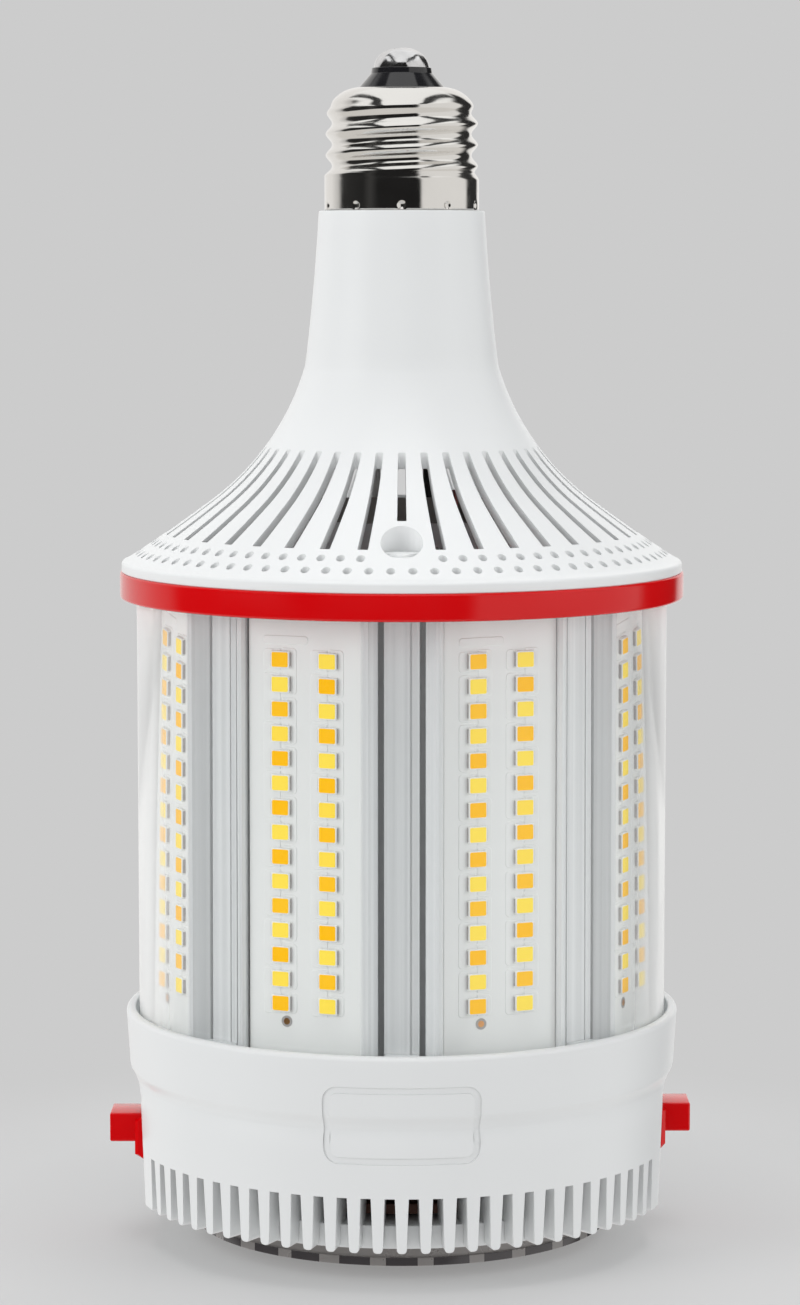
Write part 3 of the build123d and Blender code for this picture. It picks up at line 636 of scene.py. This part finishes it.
wall = 1.7
rim_round, rim_round_height = 0.72, 0.65
cone_foot_z = ring_top_z + 1.9
slot_count = 40
slot_inner_r, slot_inner_width, slot_outer_width = 23.6, 1.25, 1.75
slot_outer_r = rim_r - 7.7
port_r = 39.3
pocket_r = 3.45
pocket_floor_z = ring_top_z + 5.45
pin_r = 0.73
pin_depth = 1.4
pin_rows = ((42.8, 0.0), (45.5, 2.25))
pin_count = 80

neck_curve = arc_through((14.3, 178.5), (15.46, 163.2), (16.7, 152.0), 14)
flare_curve = arc_through((16.7, 152.0), (24.18, 137.3), (33.04, 128.7), 26)
leaving = (flare_curve[-1][0] - flare_curve[-2][0], flare_curve[-1][1] - flare_curve[-2][1])
cone_curve = arc_from((33.04, 128.7), leaving, (rim_r - rim_round, cone_foot_z), 18)
upper_curve = neck_curve + flare_curve[1:] + cone_curve[1:]


def make_upper_housing():
    inner = offset_inside(upper_curve, wall)
    inner = [p for p in inner if p[0] < rim_r - wall - 0.05 and p[1] < neck_top_z - 2.0]
    rim = [
        (rim_r - rim_round * (1 - sin(t)), cone_foot_z - rim_round_height * (1 - cos(t)))
        for t in (radians(15 * k) for k in range(1, 7))
    ]
    outline = (
        [(11.4, neck_top_z + 8.5), (11.4, neck_top_z + 5.4), (12.5, neck_top_z + 4.8), (12.5, neck_top_z)]
        + rounded([(12.5, neck_top_z, 0), (14.3, neck_top_z, 0.25), upper_curve[2] + (0,)])[1:-1]
        + upper_curve[2:]
        + rim
        + [(rim_r, ring_top_z + 0.15), (rim_r - 0.12, ring_top_z)]
        + [(rim_r - wall, ring_top_z), (rim_r - wall, height_at(inner, rim_r - wall - 0.3) - 0.2)]
        + list(reversed(inner))
        + [(10.8, neck_top_z - 2.0), (10.8, neck_top_z + 8.5)]
    )
    housing = lathe("housing_upper", outline, white_plastic, 360)
    bosses = Batch()
    for azimuth in (0, 180):
        plan = disc(pocket_r + 1.2, 64, (0, -port_r))
        points, faces = prism_mesh(plan, 114.0, 115.0)
        count = len(plan)
        for k, (x, y) in enumerate(plan):
            points[count + k] = (x, y, height_at(upper_curve, hypot(x, y)) - 0.6)
        centre = len(points)
        points.append((0, -port_r, height_at(upper_curve, port_r) - 0.6))
        faces = faces[:-1] + [[count + k, count + (k + 1) % count, centre] for k in range(count)]
        bosses.add((points, faces), azimuth)
    carve(housing, bosses, "UNION")
    cuts = Batch()
    for index in range(slot_count):
        azimuth = index * 360 / slot_count
        outer_r = slot_outer_r if azimuth not in (0, 180) else port_r - pocket_r - 1.0
        share = (outer_r - slot_inner_r) / (slot_outer_r - slot_inner_r)
        end = slot_inner_width + share * (slot_outer_width - slot_inner_width)
        plan = rounded(
            [
                (-slot_inner_width / 2, -slot_inner_r, 0.22), (slot_inner_width / 2, -slot_inner_r, 0.22),
                (end / 2, -outer_r, 0.16), (-end / 2, -outer_r, 0.16),
            ],
            3,
        )
        cuts.add(prism_mesh(plan, 116.6, 150.0), azimuth)
    for radius, start in pin_rows:
        depth_z = height_at(upper_curve, radius) - pin_depth
        for index in range(pin_count):
            azimuth = start + index * 360 / pin_count
            if start == 0 and abs((azimuth + 90) % 180 - 90) < 5:
                continue
            cuts.add(prism_mesh(disc(pin_r, 20, (0, -radius)), depth_z, 130.0), azimuth)
    for azimuth in (0, 180):
        cuts.add(prism_mesh(disc(pocket_r, 64, (0, -port_r)), pocket_floor_z, 150.0), azimuth)
        sink = [(0.0, pocket_floor_z - 12), (1.55, pocket_floor_z - 12), (1.55, pocket_floor_z - 1.3),
                (2.85, pocket_floor_z), (2.85, pocket_floor_z + 0.5), (0.0, pocket_floor_z + 0.5)]
        cuts.add(lathe_mesh(sink, 32), azimuth, (0, -port_r, 0))
    carve(housing, cuts)
    return settle(housing, ["upper_housing"])


def make_upper_screws():
    """Countersunk cross-recess screws, down in their pockets."""
    screws = Batch()
    top = pocket_floor_z - 0.02
    outline = rounded(
        [
            (0.0, top - 16, 0), (0.9, top - 16, 0), (1.35, top - 14.5, 0), (1.35, top - 1.5, 0),
            (2.75, top - 0.18, 0.05), (2.7, top, 0.08), (0.0, top, 0),
        ],
        3,
    )
    for azimuth in (0, 180):
        screws.add(lathe_mesh(outline, 48), azimuth, (0, -port_r, 0))
    made = screws.build("screws_upper", [steel])
    bar = [(x, y, top - 1.3) for x, y in rectangle(-0.5, 0.5, -0.16, 0.16)]
    bar += [(x, y, top + 0.2) for x, y in rectangle(-1.45, 1.45, -0.27, 0.27)]
    for azimuth in (0, 180):
        for turn in (20, 110):
            recess = (turned(bar, turn), prism_faces(4))
            carve(made, Batch().add(recess, azimuth, (0, -port_r, 0)))
    return settle(made, ["upper_screws"])


# Trim ring and cover

def make_trim_ring():
    socket_r = cover_r + 0.1
    upstand_r = rim_r - wall - 0.1
    outline = rounded(
        [
            (socket_r, ring_foot_z, 0.15), (ring_r, ring_foot_z, 0.55), (ring_r, ring_top_z, 0.5),
            (upstand_r, ring_top_z, 0), (upstand_r, ring_top_z + 0.3, 0),
            (socket_r - 1.24, ring_top_z + 0.3, 0), (socket_r - 1.24, cover_top_z, 0),
            (socket_r, cover_top_z, 0),
        ],
        8,
    )
    return settle(lathe("ring_red", outline, red_plastic, 360), ["trim_ring"])


def make_cover():
    outline = rounded(
        [
            (cover_r - cover_wall, cover_foot_z, 0.2), (cover_r, cover_foot_z, 0.2),
            (cover_r, cover_top_z, 0.2), (cover_r - cover_wall, cover_top_z, 0.2),
        ],
        3,
    )
    return settle(lathe("cover_tube", outline, clear_plastic, 360), ["clear_cover"])


# LED boards

board_width, board_height, board_thickness = 20.0, 77.2, 1.6
board_face = 41.7
board_middle_z = 74.8
led_pitch = 4.064
led_rows = 15
first_led_z = 47.6
column_x = 4.2
package = (3.5, 2.8, 0.7)
BODY, TERMINAL, GEL, MASK, EDGE, COPPER = range(6)


def package_mesh():
    """One package: body with its window, end terminals and phosphor, facing -Y."""
    width, height, depth = package
    batch = Batch()
    batch.add(box_mesh((width - 0.16, depth - 0.08, height), (0, -depth / 2 - 0.04, 0), 0.12, 2), mark=BODY)
    for side in (-1, 1):
        middle = (side * (width / 2 - 0.16), -(depth - 0.16) / 2, 0)
        batch.add(box_mesh((0.32, depth - 0.16, height - 0.5), middle, 0.05, 1), mark=TERMINAL)
    window = rounded([(x, z, 0.34) for x, z in rectangle(-1.52, 1.52, -1.29, 1.29)], 4)
    batch.add(relief(window, 0.1, depth - 0.06, depth + 0.02), mark=GEL)
    return batch


def relief(outline, slope, low, high):
    """A low raised patch facing -Y over an (x, z) outline, its edge sloping inwards."""
    top = offset_loop(outline, slope)
    points = [(x, -low, z) for x, z in outline] + [(x, -high, z) for x, z in top]
    return points, prism_faces(len(outline))


def offset_loop(outline, inset):
    """An anticlockwise outline moved inwards."""
    moved = []
    count = len(outline)
    for index, (x, y) in enumerate(outline):
        px, py = outline[index - 1]
        nx, ny = outline[(index + 1) % count]
        length = hypot(nx - px, ny - py)
        moved.append((x - inset * (ny - py) / length, y + inset * (nx - px) / length))
    return moved


def board_mesh():
    """One board with its copper islands, thirty packages and test pad, facing -Y from the origin."""
    batch, tones = Batch(), []

    def put(mesh, mark, shift=(0, 0, 0)):
        batch.add(mesh, shift=shift, mark=mark)
        tones.extend([0.0] * len(mesh[1]))

    def island(corners):
        put(relief(rounded(corners, 4), 0.12, -0.01, 0.1), MASK)

    put(box_mesh((board_width, board_thickness - 0.12, board_height), (0, 0.86, 0), 0.1, 2), EDGE)
    put(box_mesh((board_width, 0.12, board_height), (0, 0.06, 0), 0.04, 1), MASK)
    low_z = first_led_z - board_middle_z
    for column in (-column_x, column_x):
        for edge, start in ((-3.25, 0), (2.75, -1)):
            for row in range(start, led_rows, 2):
                first = max(row, 0) - (0.5 if row >= 0 else 0.45)
                last = min(row + 1, led_rows - 1) + (0.5 if row + 1 < led_rows else 0.45)
                low, high = low_z + first * led_pitch + 0.17, low_z + last * led_pitch - 0.17
                left, right = sorted((edge, -0.15 if edge < 0 else 0.15))
                corners = rectangle(left, right, low, high)
                island([(column + x, z, 0.7 if x == edge else 0) for x, z in corners])
    top_z = low_z + (led_rows - 1) * led_pitch + 2.35
    island([(x, z, 0.6) for x, z in rectangle(-7.45, 0.6, top_z, top_z + 1.5)])
    one = package_mesh()
    for row in range(led_rows):
        for side in (-1, 1):
            shift = (side * column_x, 0, low_z + row * led_pitch)
            tone = 1.0 if (led_rows - 1 - row + (side > 0)) % 2 == 0 else 0.0
            tone = min(max(tone + draw.uniform(-0.16, 0.16), 0.0), 1.0)
            batch.add((one.points, one.faces), shift=shift, mark=list(one.marks))
            tones.extend([tone] * len(one.faces))
    pad_z = low_z - 3.0
    for radius, rise, mark in ((0.95, 0.06, TERMINAL), (0.55, 0.09, COPPER)):
        put(round_pad(radius, rise), mark, (-column_x + 0.85, 0, pad_z))
    return batch, tones


def round_pad(radius, rise):
    """A low round pad facing -Y."""
    points, faces = prism_mesh(disc(radius, 28), 0.0, rise)
    return [(x, -z, y) for x, y, z in points], faces


def make_boards():
    batch, tones = board_mesh()
    look = [
        plain["package_white"], plain["package_terminal"], phosphor_with_painted_glow, plain["white_solder_mask"], board_edge,
        plain["copper_pad"],
    ]
    mesh = new_mesh("board", batch.points, batch.faces, look, batch.marks)
    tone = mesh.attributes.new("tone", "FLOAT", "FACE")
    tone.data.foreach_set("value", tones)
    close_up(mesh)
    for number in range(1, 9):
        azimuth = radians(22.5 + 45 * (number - 1))
        made = new_object(f"board_lit_{number}", mesh)
        out = Vector((sin(azimuth), -cos(azimuth), 0))
        side = Vector((cos(azimuth), sin(azimuth), 0))
        made.location = (out * board_face + side * 0.15) * MM + Vector((0, 0, board_middle_z * MM))
        made.rotation_euler = (0, 0, azimuth)
        shade(made, 30)
        settle(made, [f"led_board_{number}", f"leds_{number}"])


# Lower housing

step_z = foot_z + 20.2
shelf_z = foot_z + 28.6
vent_pitch = 4.9
vent_count = 14
vent_top_z = foot_z + 9.3
selector_z = foot_z + 12.4
step_top_r = collar_r - 0.63
waist_r = step_top_r - 1.73
foot_r = waist_r - 0.73
inner_foot_r = foot_r - 2.2
collar_inner_r = collar_r - 1.69
collar_edge_z = shelf_z + 4.7
boss_face_r = 41.6
rib_inner_r = foot_r - 6.0
wall_swell, flat_set_back = 1.2, 0.75


def outer_radius(z):
    """The lower housing's outer radius at a height."""
    if z <= step_z:
        return foot_r + (waist_r - foot_r) * (z - foot_z) / (step_z - foot_z)
    if z <= step_z + 3.3:
        return waist_r + (step_top_r - waist_r) * smooth_step(z, step_z, step_z + 3.3)
    return step_top_r + (collar_r - step_top_r) * (z - step_z - 3.3) / (collar_edge_z - step_z - 3.3)


def vent_mesh():
    """The cutter of one vent: narrower at its top, its ribs rounded at their feet."""
    low, high = foot_z, vent_top_z
    half_top, half_foot = 0.825, 1.15
    slope = (half_foot - half_top) / (high - low)
    right = [(half_top, high)]
    for k in range(6):
        a = radians(15 * k)
        z = low + 0.75 * (1 - sin(a))
        right.append((half_foot - slope * (z - low) + 0.62 * (1 - cos(a)), z))
    right.append((half_foot + 0.75, low - 0.02))
    right.append((half_foot + 0.75, low - 1.0))
    outline = right + [(-x, z) for x, z in reversed(right)]
    inner_y, outer_y = -(rib_inner_r - 2.0), -(waist_r + 2.0)
    points = [(x, inner_y, z) for x, z in outline] + [(x, outer_y, z) for x, z in outline]
    return points, prism_faces(len(outline))


def curved_frame(half_width, low, high, corner, line, radius, depth):
    """A cutter for a thin rounded-rectangle groove in a turned wall at the front."""
    steps = 10

    def loop(grow):
        corners = [
            (half_width + grow, low - grow), (half_width + grow, high + grow),
            (-half_width - grow, high + grow), (-half_width - grow, low - grow),
        ]
        corner_points = rounded([(x, z, corner + grow) for x, z in corners], 8)
        dense = []
        for (x0, z0), (x1, z1) in zip(corner_points, corner_points[1:] + corner_points[:1]):
            parts = steps if hypot(x1 - x0, z1 - z0) > 3 else 1
            dense += [(x0 + (x1 - x0) * k / parts, z0 + (z1 - z0) * k / parts) for k in range(parts)]
        return dense

    def placed(s, z, r):
        a = s / radius
        return (r * sin(a), -r * cos(a), z)

    outer, inner = loop(line / 2), loop(-line / 2)
    count = len(outer)
    points = [placed(s, z, outer_radius(z) + 1.0) for s, z in outer]
    points += [placed(s, z, outer_radius(z) - depth) for s, z in outer]
    points += [placed(s, z, outer_radius(z) - depth) for s, z in inner]
    points += [placed(s, z, outer_radius(z) + 1.0) for s, z in inner]
    faces = []
    for ring in range(4):
        faces += loop_faces(ring * count, (ring + 1) % 4 * count, count)
    return points, faces


def make_lower_housing():
    heights = [foot_z + 0.15 + k * 1.6 for k in range(12)]
    outer = [(outer_radius(z), z) for z in heights if z < step_z]
    outer += [(outer_radius(step_z + 3.3 * k / 12), step_z + 3.3 * k / 12) for k in range(13)]
    outer += [(outer_radius(z), z) for z in (step_z + 5, step_z + 7.5, collar_edge_z - 2.4)]
    collar = rounded(
        [
            (outer_radius(collar_edge_z - 2.4), collar_edge_z - 2.4, 0), (collar_r, collar_edge_z, 0.8),
            (collar_inner_r, collar_edge_z, 0.35), (collar_inner_r, shelf_z, 0),
        ],
        7,
    )[1:]
    outline = (
        [(foot_r - 0.12, foot_z)]
        + outer
        + collar
        + [(boss_face_r - 4.8, shelf_z), (boss_face_r - 4.8, shelf_z - 2.4)]
        + [(step_top_r - 2.6, shelf_z - 2.4), (step_top_r - 2.6, step_z + 3.9)]
        + [(waist_r - 2.2, step_z + 0.6), (inner_foot_r, foot_z)]
    )
    housing = lathe("housing_lower", outline, white_plastic, 360)
    half = vent_count * vent_pitch + 0.25
    bands = Batch()
    band_low = foot_z + 3.9
    band = [
        (rib_inner_r, band_low), (outer_radius(band_low) - 1.0, band_low),
        (outer_radius(vent_top_z + 1.2) - 1.0, vent_top_z + 1.2), (rib_inner_r, vent_top_z + 1.2),
    ]
    for azimuth in (0, 180):
        bands.add(lathe_mesh(band, 140, azimuth - half, azimuth + half))
    carve(housing, bands, "UNION")
    tab = rounded([(-3.2, 35.2, 0), (3.2, 35.2, 0), (3.2, 39.9, 0.9), (-3.2, 39.9, 0.9)], 5)
    points, faces = prism_mesh(tab, 41.7, 43.6)
    tab = ([(x, -z, y) for x, y, z in points], faces)
    carve(housing, repeated(tab, range(0, 360, 45)), "UNION")
    vents = [side + (k + 0.5) * vent_pitch for side in (0, 180) for k in range(-vent_count, vent_count)]
    carve(housing, repeated(vent_mesh(), vents))
    slots = Batch()
    stem = rectangle(41.0, waist_r + 2, selector_z - 1.9, selector_z + 1.9)
    for azimuth in (-90, 90):
        slots.add(lathe_mesh(stem, 24, azimuth - 8.7, azimuth + 8.7))
    carve(housing, slots)
    carve(housing, Batch().add(curved_frame(12.9, 22.6, 34.6, 2.0, 1.1, collar_r, 0.22)))
    flatten_sides(housing.data.vertices)
    shade(housing, CREASE)
    return settle(housing, ["lower_housing"])


def flatten_sides(vertices):
    """Widens the wall below the step all round, but for a flat at each selector."""
    for vertex in vertices:
        x, y, z = vertex.co / MM
        r = hypot(x, y)
        if z > step_z + 2.5 or r < outer_radius(z) - 0.4:
            continue
        share = 1 - smooth_step(z, step_z - 1.5, step_z + 2.5)
        flat_r = (r - flat_set_back * share) * r / max(abs(x), 1.0)
        scale = min(r + wall_swell * share, flat_r) / r
        vertex.co.x, vertex.co.y = x * scale * MM, y * scale * MM


def make_base_ring():
    outline = rounded(
        [
            (35.4, foot_z, 0), (inner_foot_r - 0.05, foot_z, 0.1),
            (inner_foot_r - 0.05, foot_z + 3.9, 0.15), (31.0, foot_z + 3.9, 0),
            (31.0, foot_z + 2.4, 0), (33.5, foot_z + 2.4, 0),
            (33.5, foot_z + 0.9, 0), (35.4, foot_z + 0.9, 0),
        ],
        3,
    )
    ring = lathe("ring_base", outline, white_plastic, 256)
    spacer = prism_mesh(disc(2.2, 32, (0, -35.3)), foot_z + 3.6, foot_z + 4.7)
    carve(ring, repeated(spacer, (45, 135, 225, 315)), "UNION")
    return settle(ring, ["base_ring"])


def make_end_lens():
    """The smoky lens with its wide lip, dark at the edge between clearer ribs."""
    lip_r, lip_low, lip_high = 36.3, 2.3, 3.7
    pitch, clear, start = 360 / 27, 4.5, 4.2
    outline = rounded(
        [
            (0.0, 0.8, 0), (26.4, 0.8, 0.3), (26.4, 0.0, 0.25), (28.0, 0.0, 0.3), (28.0, lip_low, 0.3),
            (lip_r, lip_low, 0.12), (lip_r, lip_high, 0.12), (35.8, lip_high + 0.05, 0), (35.8, 7.0, 0),
            (35.3, 7.0, 0), (35.3, 7.85, 0), (32.6, 7.85, 0), (32.6, 5.2, 0.3), (26.4, 5.2, 0.3),
            (26.4, 2.4, 0.3), (0.0, 2.4, 0),
        ],
        4,
    )
    lens = lathe("lens_end", outline, smoky, 256)
    tooth = box_mesh((2.0, 1.2, 2.4), (0, -27.7, 1.45), 0.12, 2)
    carve(lens, repeated(tooth, range(0, 360, 15)), "UNION")
    rings = Batch()
    for radius in (5.0, 10.0, 15.0, 20.0):
        groove = rectangle(radius - 0.25, radius + 0.25, 0.5, 0.9)
        groove.insert(3, (radius, 1.1))
        rings.add(lathe_mesh(groove, 128))
    carve(lens, rings)
    lens.data.materials.append(plain["smoky_edge"])
    for face in lens.data.polygons:
        x, y, z = face.center / MM
        turn = (degrees(atan2(x, -y)) + start) % pitch
        if hypot(x, y) > lip_r - 0.4 and z < lip_high + 0.02 and turn < pitch - clear:
            face.material_index = len(lens.data.materials) - 1
    return settle(lens, ["end_lens"])


# Selectors

def flange_mesh(inner_r, outer_y, first, last, low, high):
    """A flange facing -Y: flat outside with bevelled edges, and hollow to a wall's radius inside."""
    flat = last - first - 1.2
    stations = [first] + [first + 0.6 + flat * k / 10 for k in range(11)] + [last]
    points, faces = [], []
    for x in stations:
        inner_y = sqrt(inner_r**2 - x**2)
        face_y = max(outer_y - 0.65, inner_y + 0.1) if x in (first, last) else outer_y
        points += [(x, -inner_y, low), (x, -face_y, low + 1.25)]
        points += [(x, -face_y, high - 1.25), (x, -inner_y, high)]
    for k in range(len(stations) - 1):
        faces += loop_faces(4 * k, 4 * k + 4, 4)
    faces += [[0, 1, 2, 3], [len(points) - i for i in (1, 2, 3, 4)]]
    return points, faces


def make_selector(name, azimuth):
    """One red slide: flange on the collar's wall, square knob, stem, two prongs and inner shutter."""
    flange_low, flange_high = selector_z - 5.8, selector_z + 2.65
    inner_r = outer_radius(flange_high) - 0.52
    outer_y = inner_r + 1.3
    reach = foot_r + 5.7
    middle_x, lean = 4.05, -5.0
    flange = flange_mesh(inner_r, outer_y, middle_x - 4.9, middle_x + 4.9, flange_low, flange_high)
    slide = Batch().add(flange, lean).build(f"slide_{name}", [red_plastic])
    knob_r = inner_r + 0.05
    middle = (middle_x, -(reach + knob_r) / 2, selector_z + 0.1)
    carve(slide, Batch().add(box_mesh((8.0, reach - knob_r, 5.05), middle, 0.35, 4), lean), "UNION")
    stem_inner_r, stem_outer_r = 42.8, inner_r + 0.4
    middle = (0, -(stem_outer_r + stem_inner_r) / 2, selector_z)
    carve(slide, Batch().add(box_mesh((5.1, stem_outer_r - stem_inner_r, 3.2), middle, 0.1, 1)), "UNION")
    prongs = Batch()
    for side in (-1, 1):
        prongs.add(box_mesh((1.2, 2.6, 3.2), (side * 1.95, -41.7, selector_z), 0.1, 1))
    carve(slide, prongs, "UNION")
    slide.data.transform(Matrix.Rotation(radians(azimuth), 4, "Z"))
    section = rectangle(42.5, 43.1, selector_z - 2.6, selector_z + 2.6)
    carve(slide, Batch().add(lathe_mesh(section, 24, azimuth - 15.5, azimuth + 15.5)), "UNION")
    body = f"{name}_selector"
    return settle(slide, [body], body)


# Pieces whose solids stay, with their own finish

kept_looks = {
    "heat_sink": aluminium, "end_led_board": plain["white_solder_mask"], "end_leds": phosphor_with_painted_glow,
    "control_board": plain["phenolic_board"], "driver_sleeve": sleeve_plastic,
    "driver_board": plain["driver_board"], "transformer": plain["ferrite"], "inductor": copper_wire,
    "capacitors": plain["can_sleeve"], "power_devices": plain["black_moulding"],
    "live_lead": plain["lead_black"], "neutral_lead": plain["lead_white"],
    "led_leads": plain["lead_red"], "lower_screws": steel, "power_switch": steel,
    "colour_switch": steel, "power_switch_lever": plain["black_moulding"],
    "colour_switch_lever": plain["black_moulding"],
}


def dress_kept():
    for node, look in kept_looks.items():
        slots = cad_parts[node].data.materials
        if len(slots):
            for index in range(len(slots)):
                slots[index] = look
        else:
            slots.append(look)


make_screw_shell()
make_insulator()
make_contact()
make_upper_housing()
make_upper_screws()
make_trim_ring()
make_cover()
make_boards()
make_lower_housing()
make_base_ring()
make_end_lens()
make_selector("power", -85)
make_selector("colour", 95)
dress_kept()


# Studio

backdrop_grey = 0.604
floor_half = 9000
floor_albedo = 0.66
floor_bounce = 0.75
# Share of the even backdrop grey painted over the floor beside the lamp, which lightens the lamp's shadow.
painted_shadow_lift = 0.35
world_light = 0.45
camera_place = (-0.0003, -0.6682, 0.1713)
camera_tilt_down = 5.923
focal_length = 106.288


def make_floor():
    points = [(x, y, 0) for x, y in rectangle(-floor_half, floor_half, -floor_half, floor_half)]
    material, tree, lit = new_material("floor_paper")
    set_sockets(lit, {"Base Color": grey(floor_albedo), "Roughness": 0.9, "Specular IOR Level": 0.0})
    even = node_of(tree, "ShaderNodeEmission", {"Color": grey(backdrop_grey)})
    passed = node_of(tree, "ShaderNodeBsdfTransparent")
    position = node_of(tree, "ShaderNodeNewGeometry").outputs["Position"]
    length = node_of(tree, "ShaderNodeVectorMath", operation="LENGTH")
    tree.links.new(position, length.inputs[0])
    far = map_range(tree, length.outputs["Value"], 0.04, 0.15)
    # Painted light: near the lamp the floor keeps at least this share of even grey, so its shadow is
    # lighter.
    reach = calculate(tree, "MAXIMUM", far, painted_shadow_lift)
    seen = light_path(tree, "Is Camera Ray", "Is Transmission Ray")
    paper = mixed(tree, calculate(tree, "MULTIPLY", reach, seen), lit.outputs[0], even.outputs[0])
    bounce = node_of(tree, "ShaderNodeEmission", {"Strength": floor_bounce})
    lifted = mixed(tree, light_path(tree, "Is Diffuse Ray"), paper, bounce.outputs[0])
    surface = mixed(tree, light_path(tree, "Is Glossy Ray"), lifted, passed.outputs[0])
    tree.links.new(surface, tree.nodes["Material Output"].inputs["Surface"])
    floor = mesh_object("floor", points, [[0, 1, 2, 3]], [material])
    floor.location.z = -0.02 * MM


# What shines back from the studio round the lamp: (azimuth from the front, brightness)
studio_walls = (
    (-180, 0.95), (-128, 0.9), (-108, 0.6), (-101, 0.03), (-60, 0.02), (-48, 0.05), (-36, 0.015),
    (27, 0.015), (31, 0.85), (110, 0.85), (116, 0.03), (148, 0.03), (154, 0.95), (180, 0.95),
)


def make_world():
    world = bpy.data.worlds.new("studio")
    bpy.context.scene.world = world
    world.use_nodes = True
    tree = world.node_tree
    light = tree.nodes["Background"]
    set_sockets(light, {"Color": (0.96, 0.98, 1.0, 1), "Strength": world_light})
    shown = node_of(tree, "ShaderNodeBackground", {"Color": grey(backdrop_grey)})
    split = node_of(tree, "ShaderNodeSeparateXYZ")
    tree.links.new(node_of(tree, "ShaderNodeTexCoord").outputs["Generated"], split.inputs[0])
    x, y, z = split.outputs
    azimuth = calculate(tree, "ARCTAN2", x, calculate(tree, "MULTIPLY", y, -1.0))
    turn = calculate(tree, "MULTIPLY_ADD", azimuth, 1 / (2 * pi), 0.5)
    walls = node_of(tree, "ShaderNodeValToRGB")
    stops = walls.color_ramp.elements
    while len(stops) < len(studio_walls):
        stops.new(0.5)
    for stop, (angle, value) in zip(stops, studio_walls):
        stop.position = 0.5 + angle / 360
        stop.color = (value, value * 0.985, value * 0.965, 1)
    tree.links.new(turn, walls.inputs["Fac"])
    with_sky = blend_colours(
        tree, map_range(tree, z, 0.6, 0.72), walls.outputs["Color"], (1.05, 1.05, 1.04)
    )
    with_floor = blend_colours(
        tree, map_range(tree, calculate(tree, "MULTIPLY", z, -1.0), 0.42, 0.58), with_sky, (0.74, 0.72, 0.69)
    )
    side = calculate(tree, "ABSOLUTE", x)
    gap = calculate(
        tree, "MULTIPLY", map_range(tree, side, 0.38, 0.42),
        calculate(tree, "SUBTRACT", 1.0, map_range(tree, side, 0.54, 0.60)),
    )
    gap = calculate(tree, "MULTIPLY", gap, map_range(tree, z, 0.6, 0.66))
    gap = calculate(tree, "MULTIPLY", gap, calculate(tree, "SUBTRACT", 1.0, map_range(tree, y, 0.5, 0.6)))
    with_gaps = blend_colours(tree, gap, with_floor, (0.05, 0.05, 0.05))
    mirrored_studio = node_of(tree, "ShaderNodeBackground")
    tree.links.new(with_gaps, mirrored_studio.inputs["Color"])
    in_view = light_path(tree, "Is Camera Ray", "Is Transmission Ray")
    seen = mixed(tree, in_view, light.outputs[0], shown.outputs[0])
    every = mixed(tree, light_path(tree, "Is Glossy Ray"), seen, mirrored_studio.outputs[0])
    tree.links.new(every, tree.nodes["World Output"].inputs["Surface"])


def soft_box(name, place, aim, width, height, power):
    lamp = bpy.data.lights.new(name, "AREA")
    lamp.shape = "RECTANGLE"
    lamp.size, lamp.size_y = width, height
    lamp.energy = power
    made = new_object(name, lamp)
    made.visible_glossy = False
    made.visible_transmission = False
    made.location = place
    made.rotation_euler = (Vector(aim) - Vector(place)).to_track_quat("-Z", "Y").to_euler()


def make_camera():
    lens = bpy.data.cameras.new("camera")
    lens.sensor_width = 36
    lens.lens = focal_length
    lens.clip_start = 0.01
    made = new_object("camera", lens)
    made.location = camera_place
    made.rotation_euler = (radians(90 - camera_tilt_down), 0, 0)
    bpy.context.scene.camera = made


middle = (0, 0, 0.1)
make_floor()
make_world()
soft_box("key", (-1.15, -0.6, 0.45), middle, 0.7, 0.9, 7.4)
soft_box("fill", (1.2, -0.5, 0.35), middle, 0.6, 0.9, 5.1)
soft_box("front", (-0.1, -1.3, 0.15), middle, 0.9, 0.5, 1.2)
soft_box("top", (0.0, 0.0, 1.2), middle, 0.9, 0.9, 6.3)
soft_box("back", (0.3, 1.0, 0.6), middle, 0.9, 0.6, 3.0)
make_camera()
bpy.context.scene.view_settings.view_transform = "Standard"
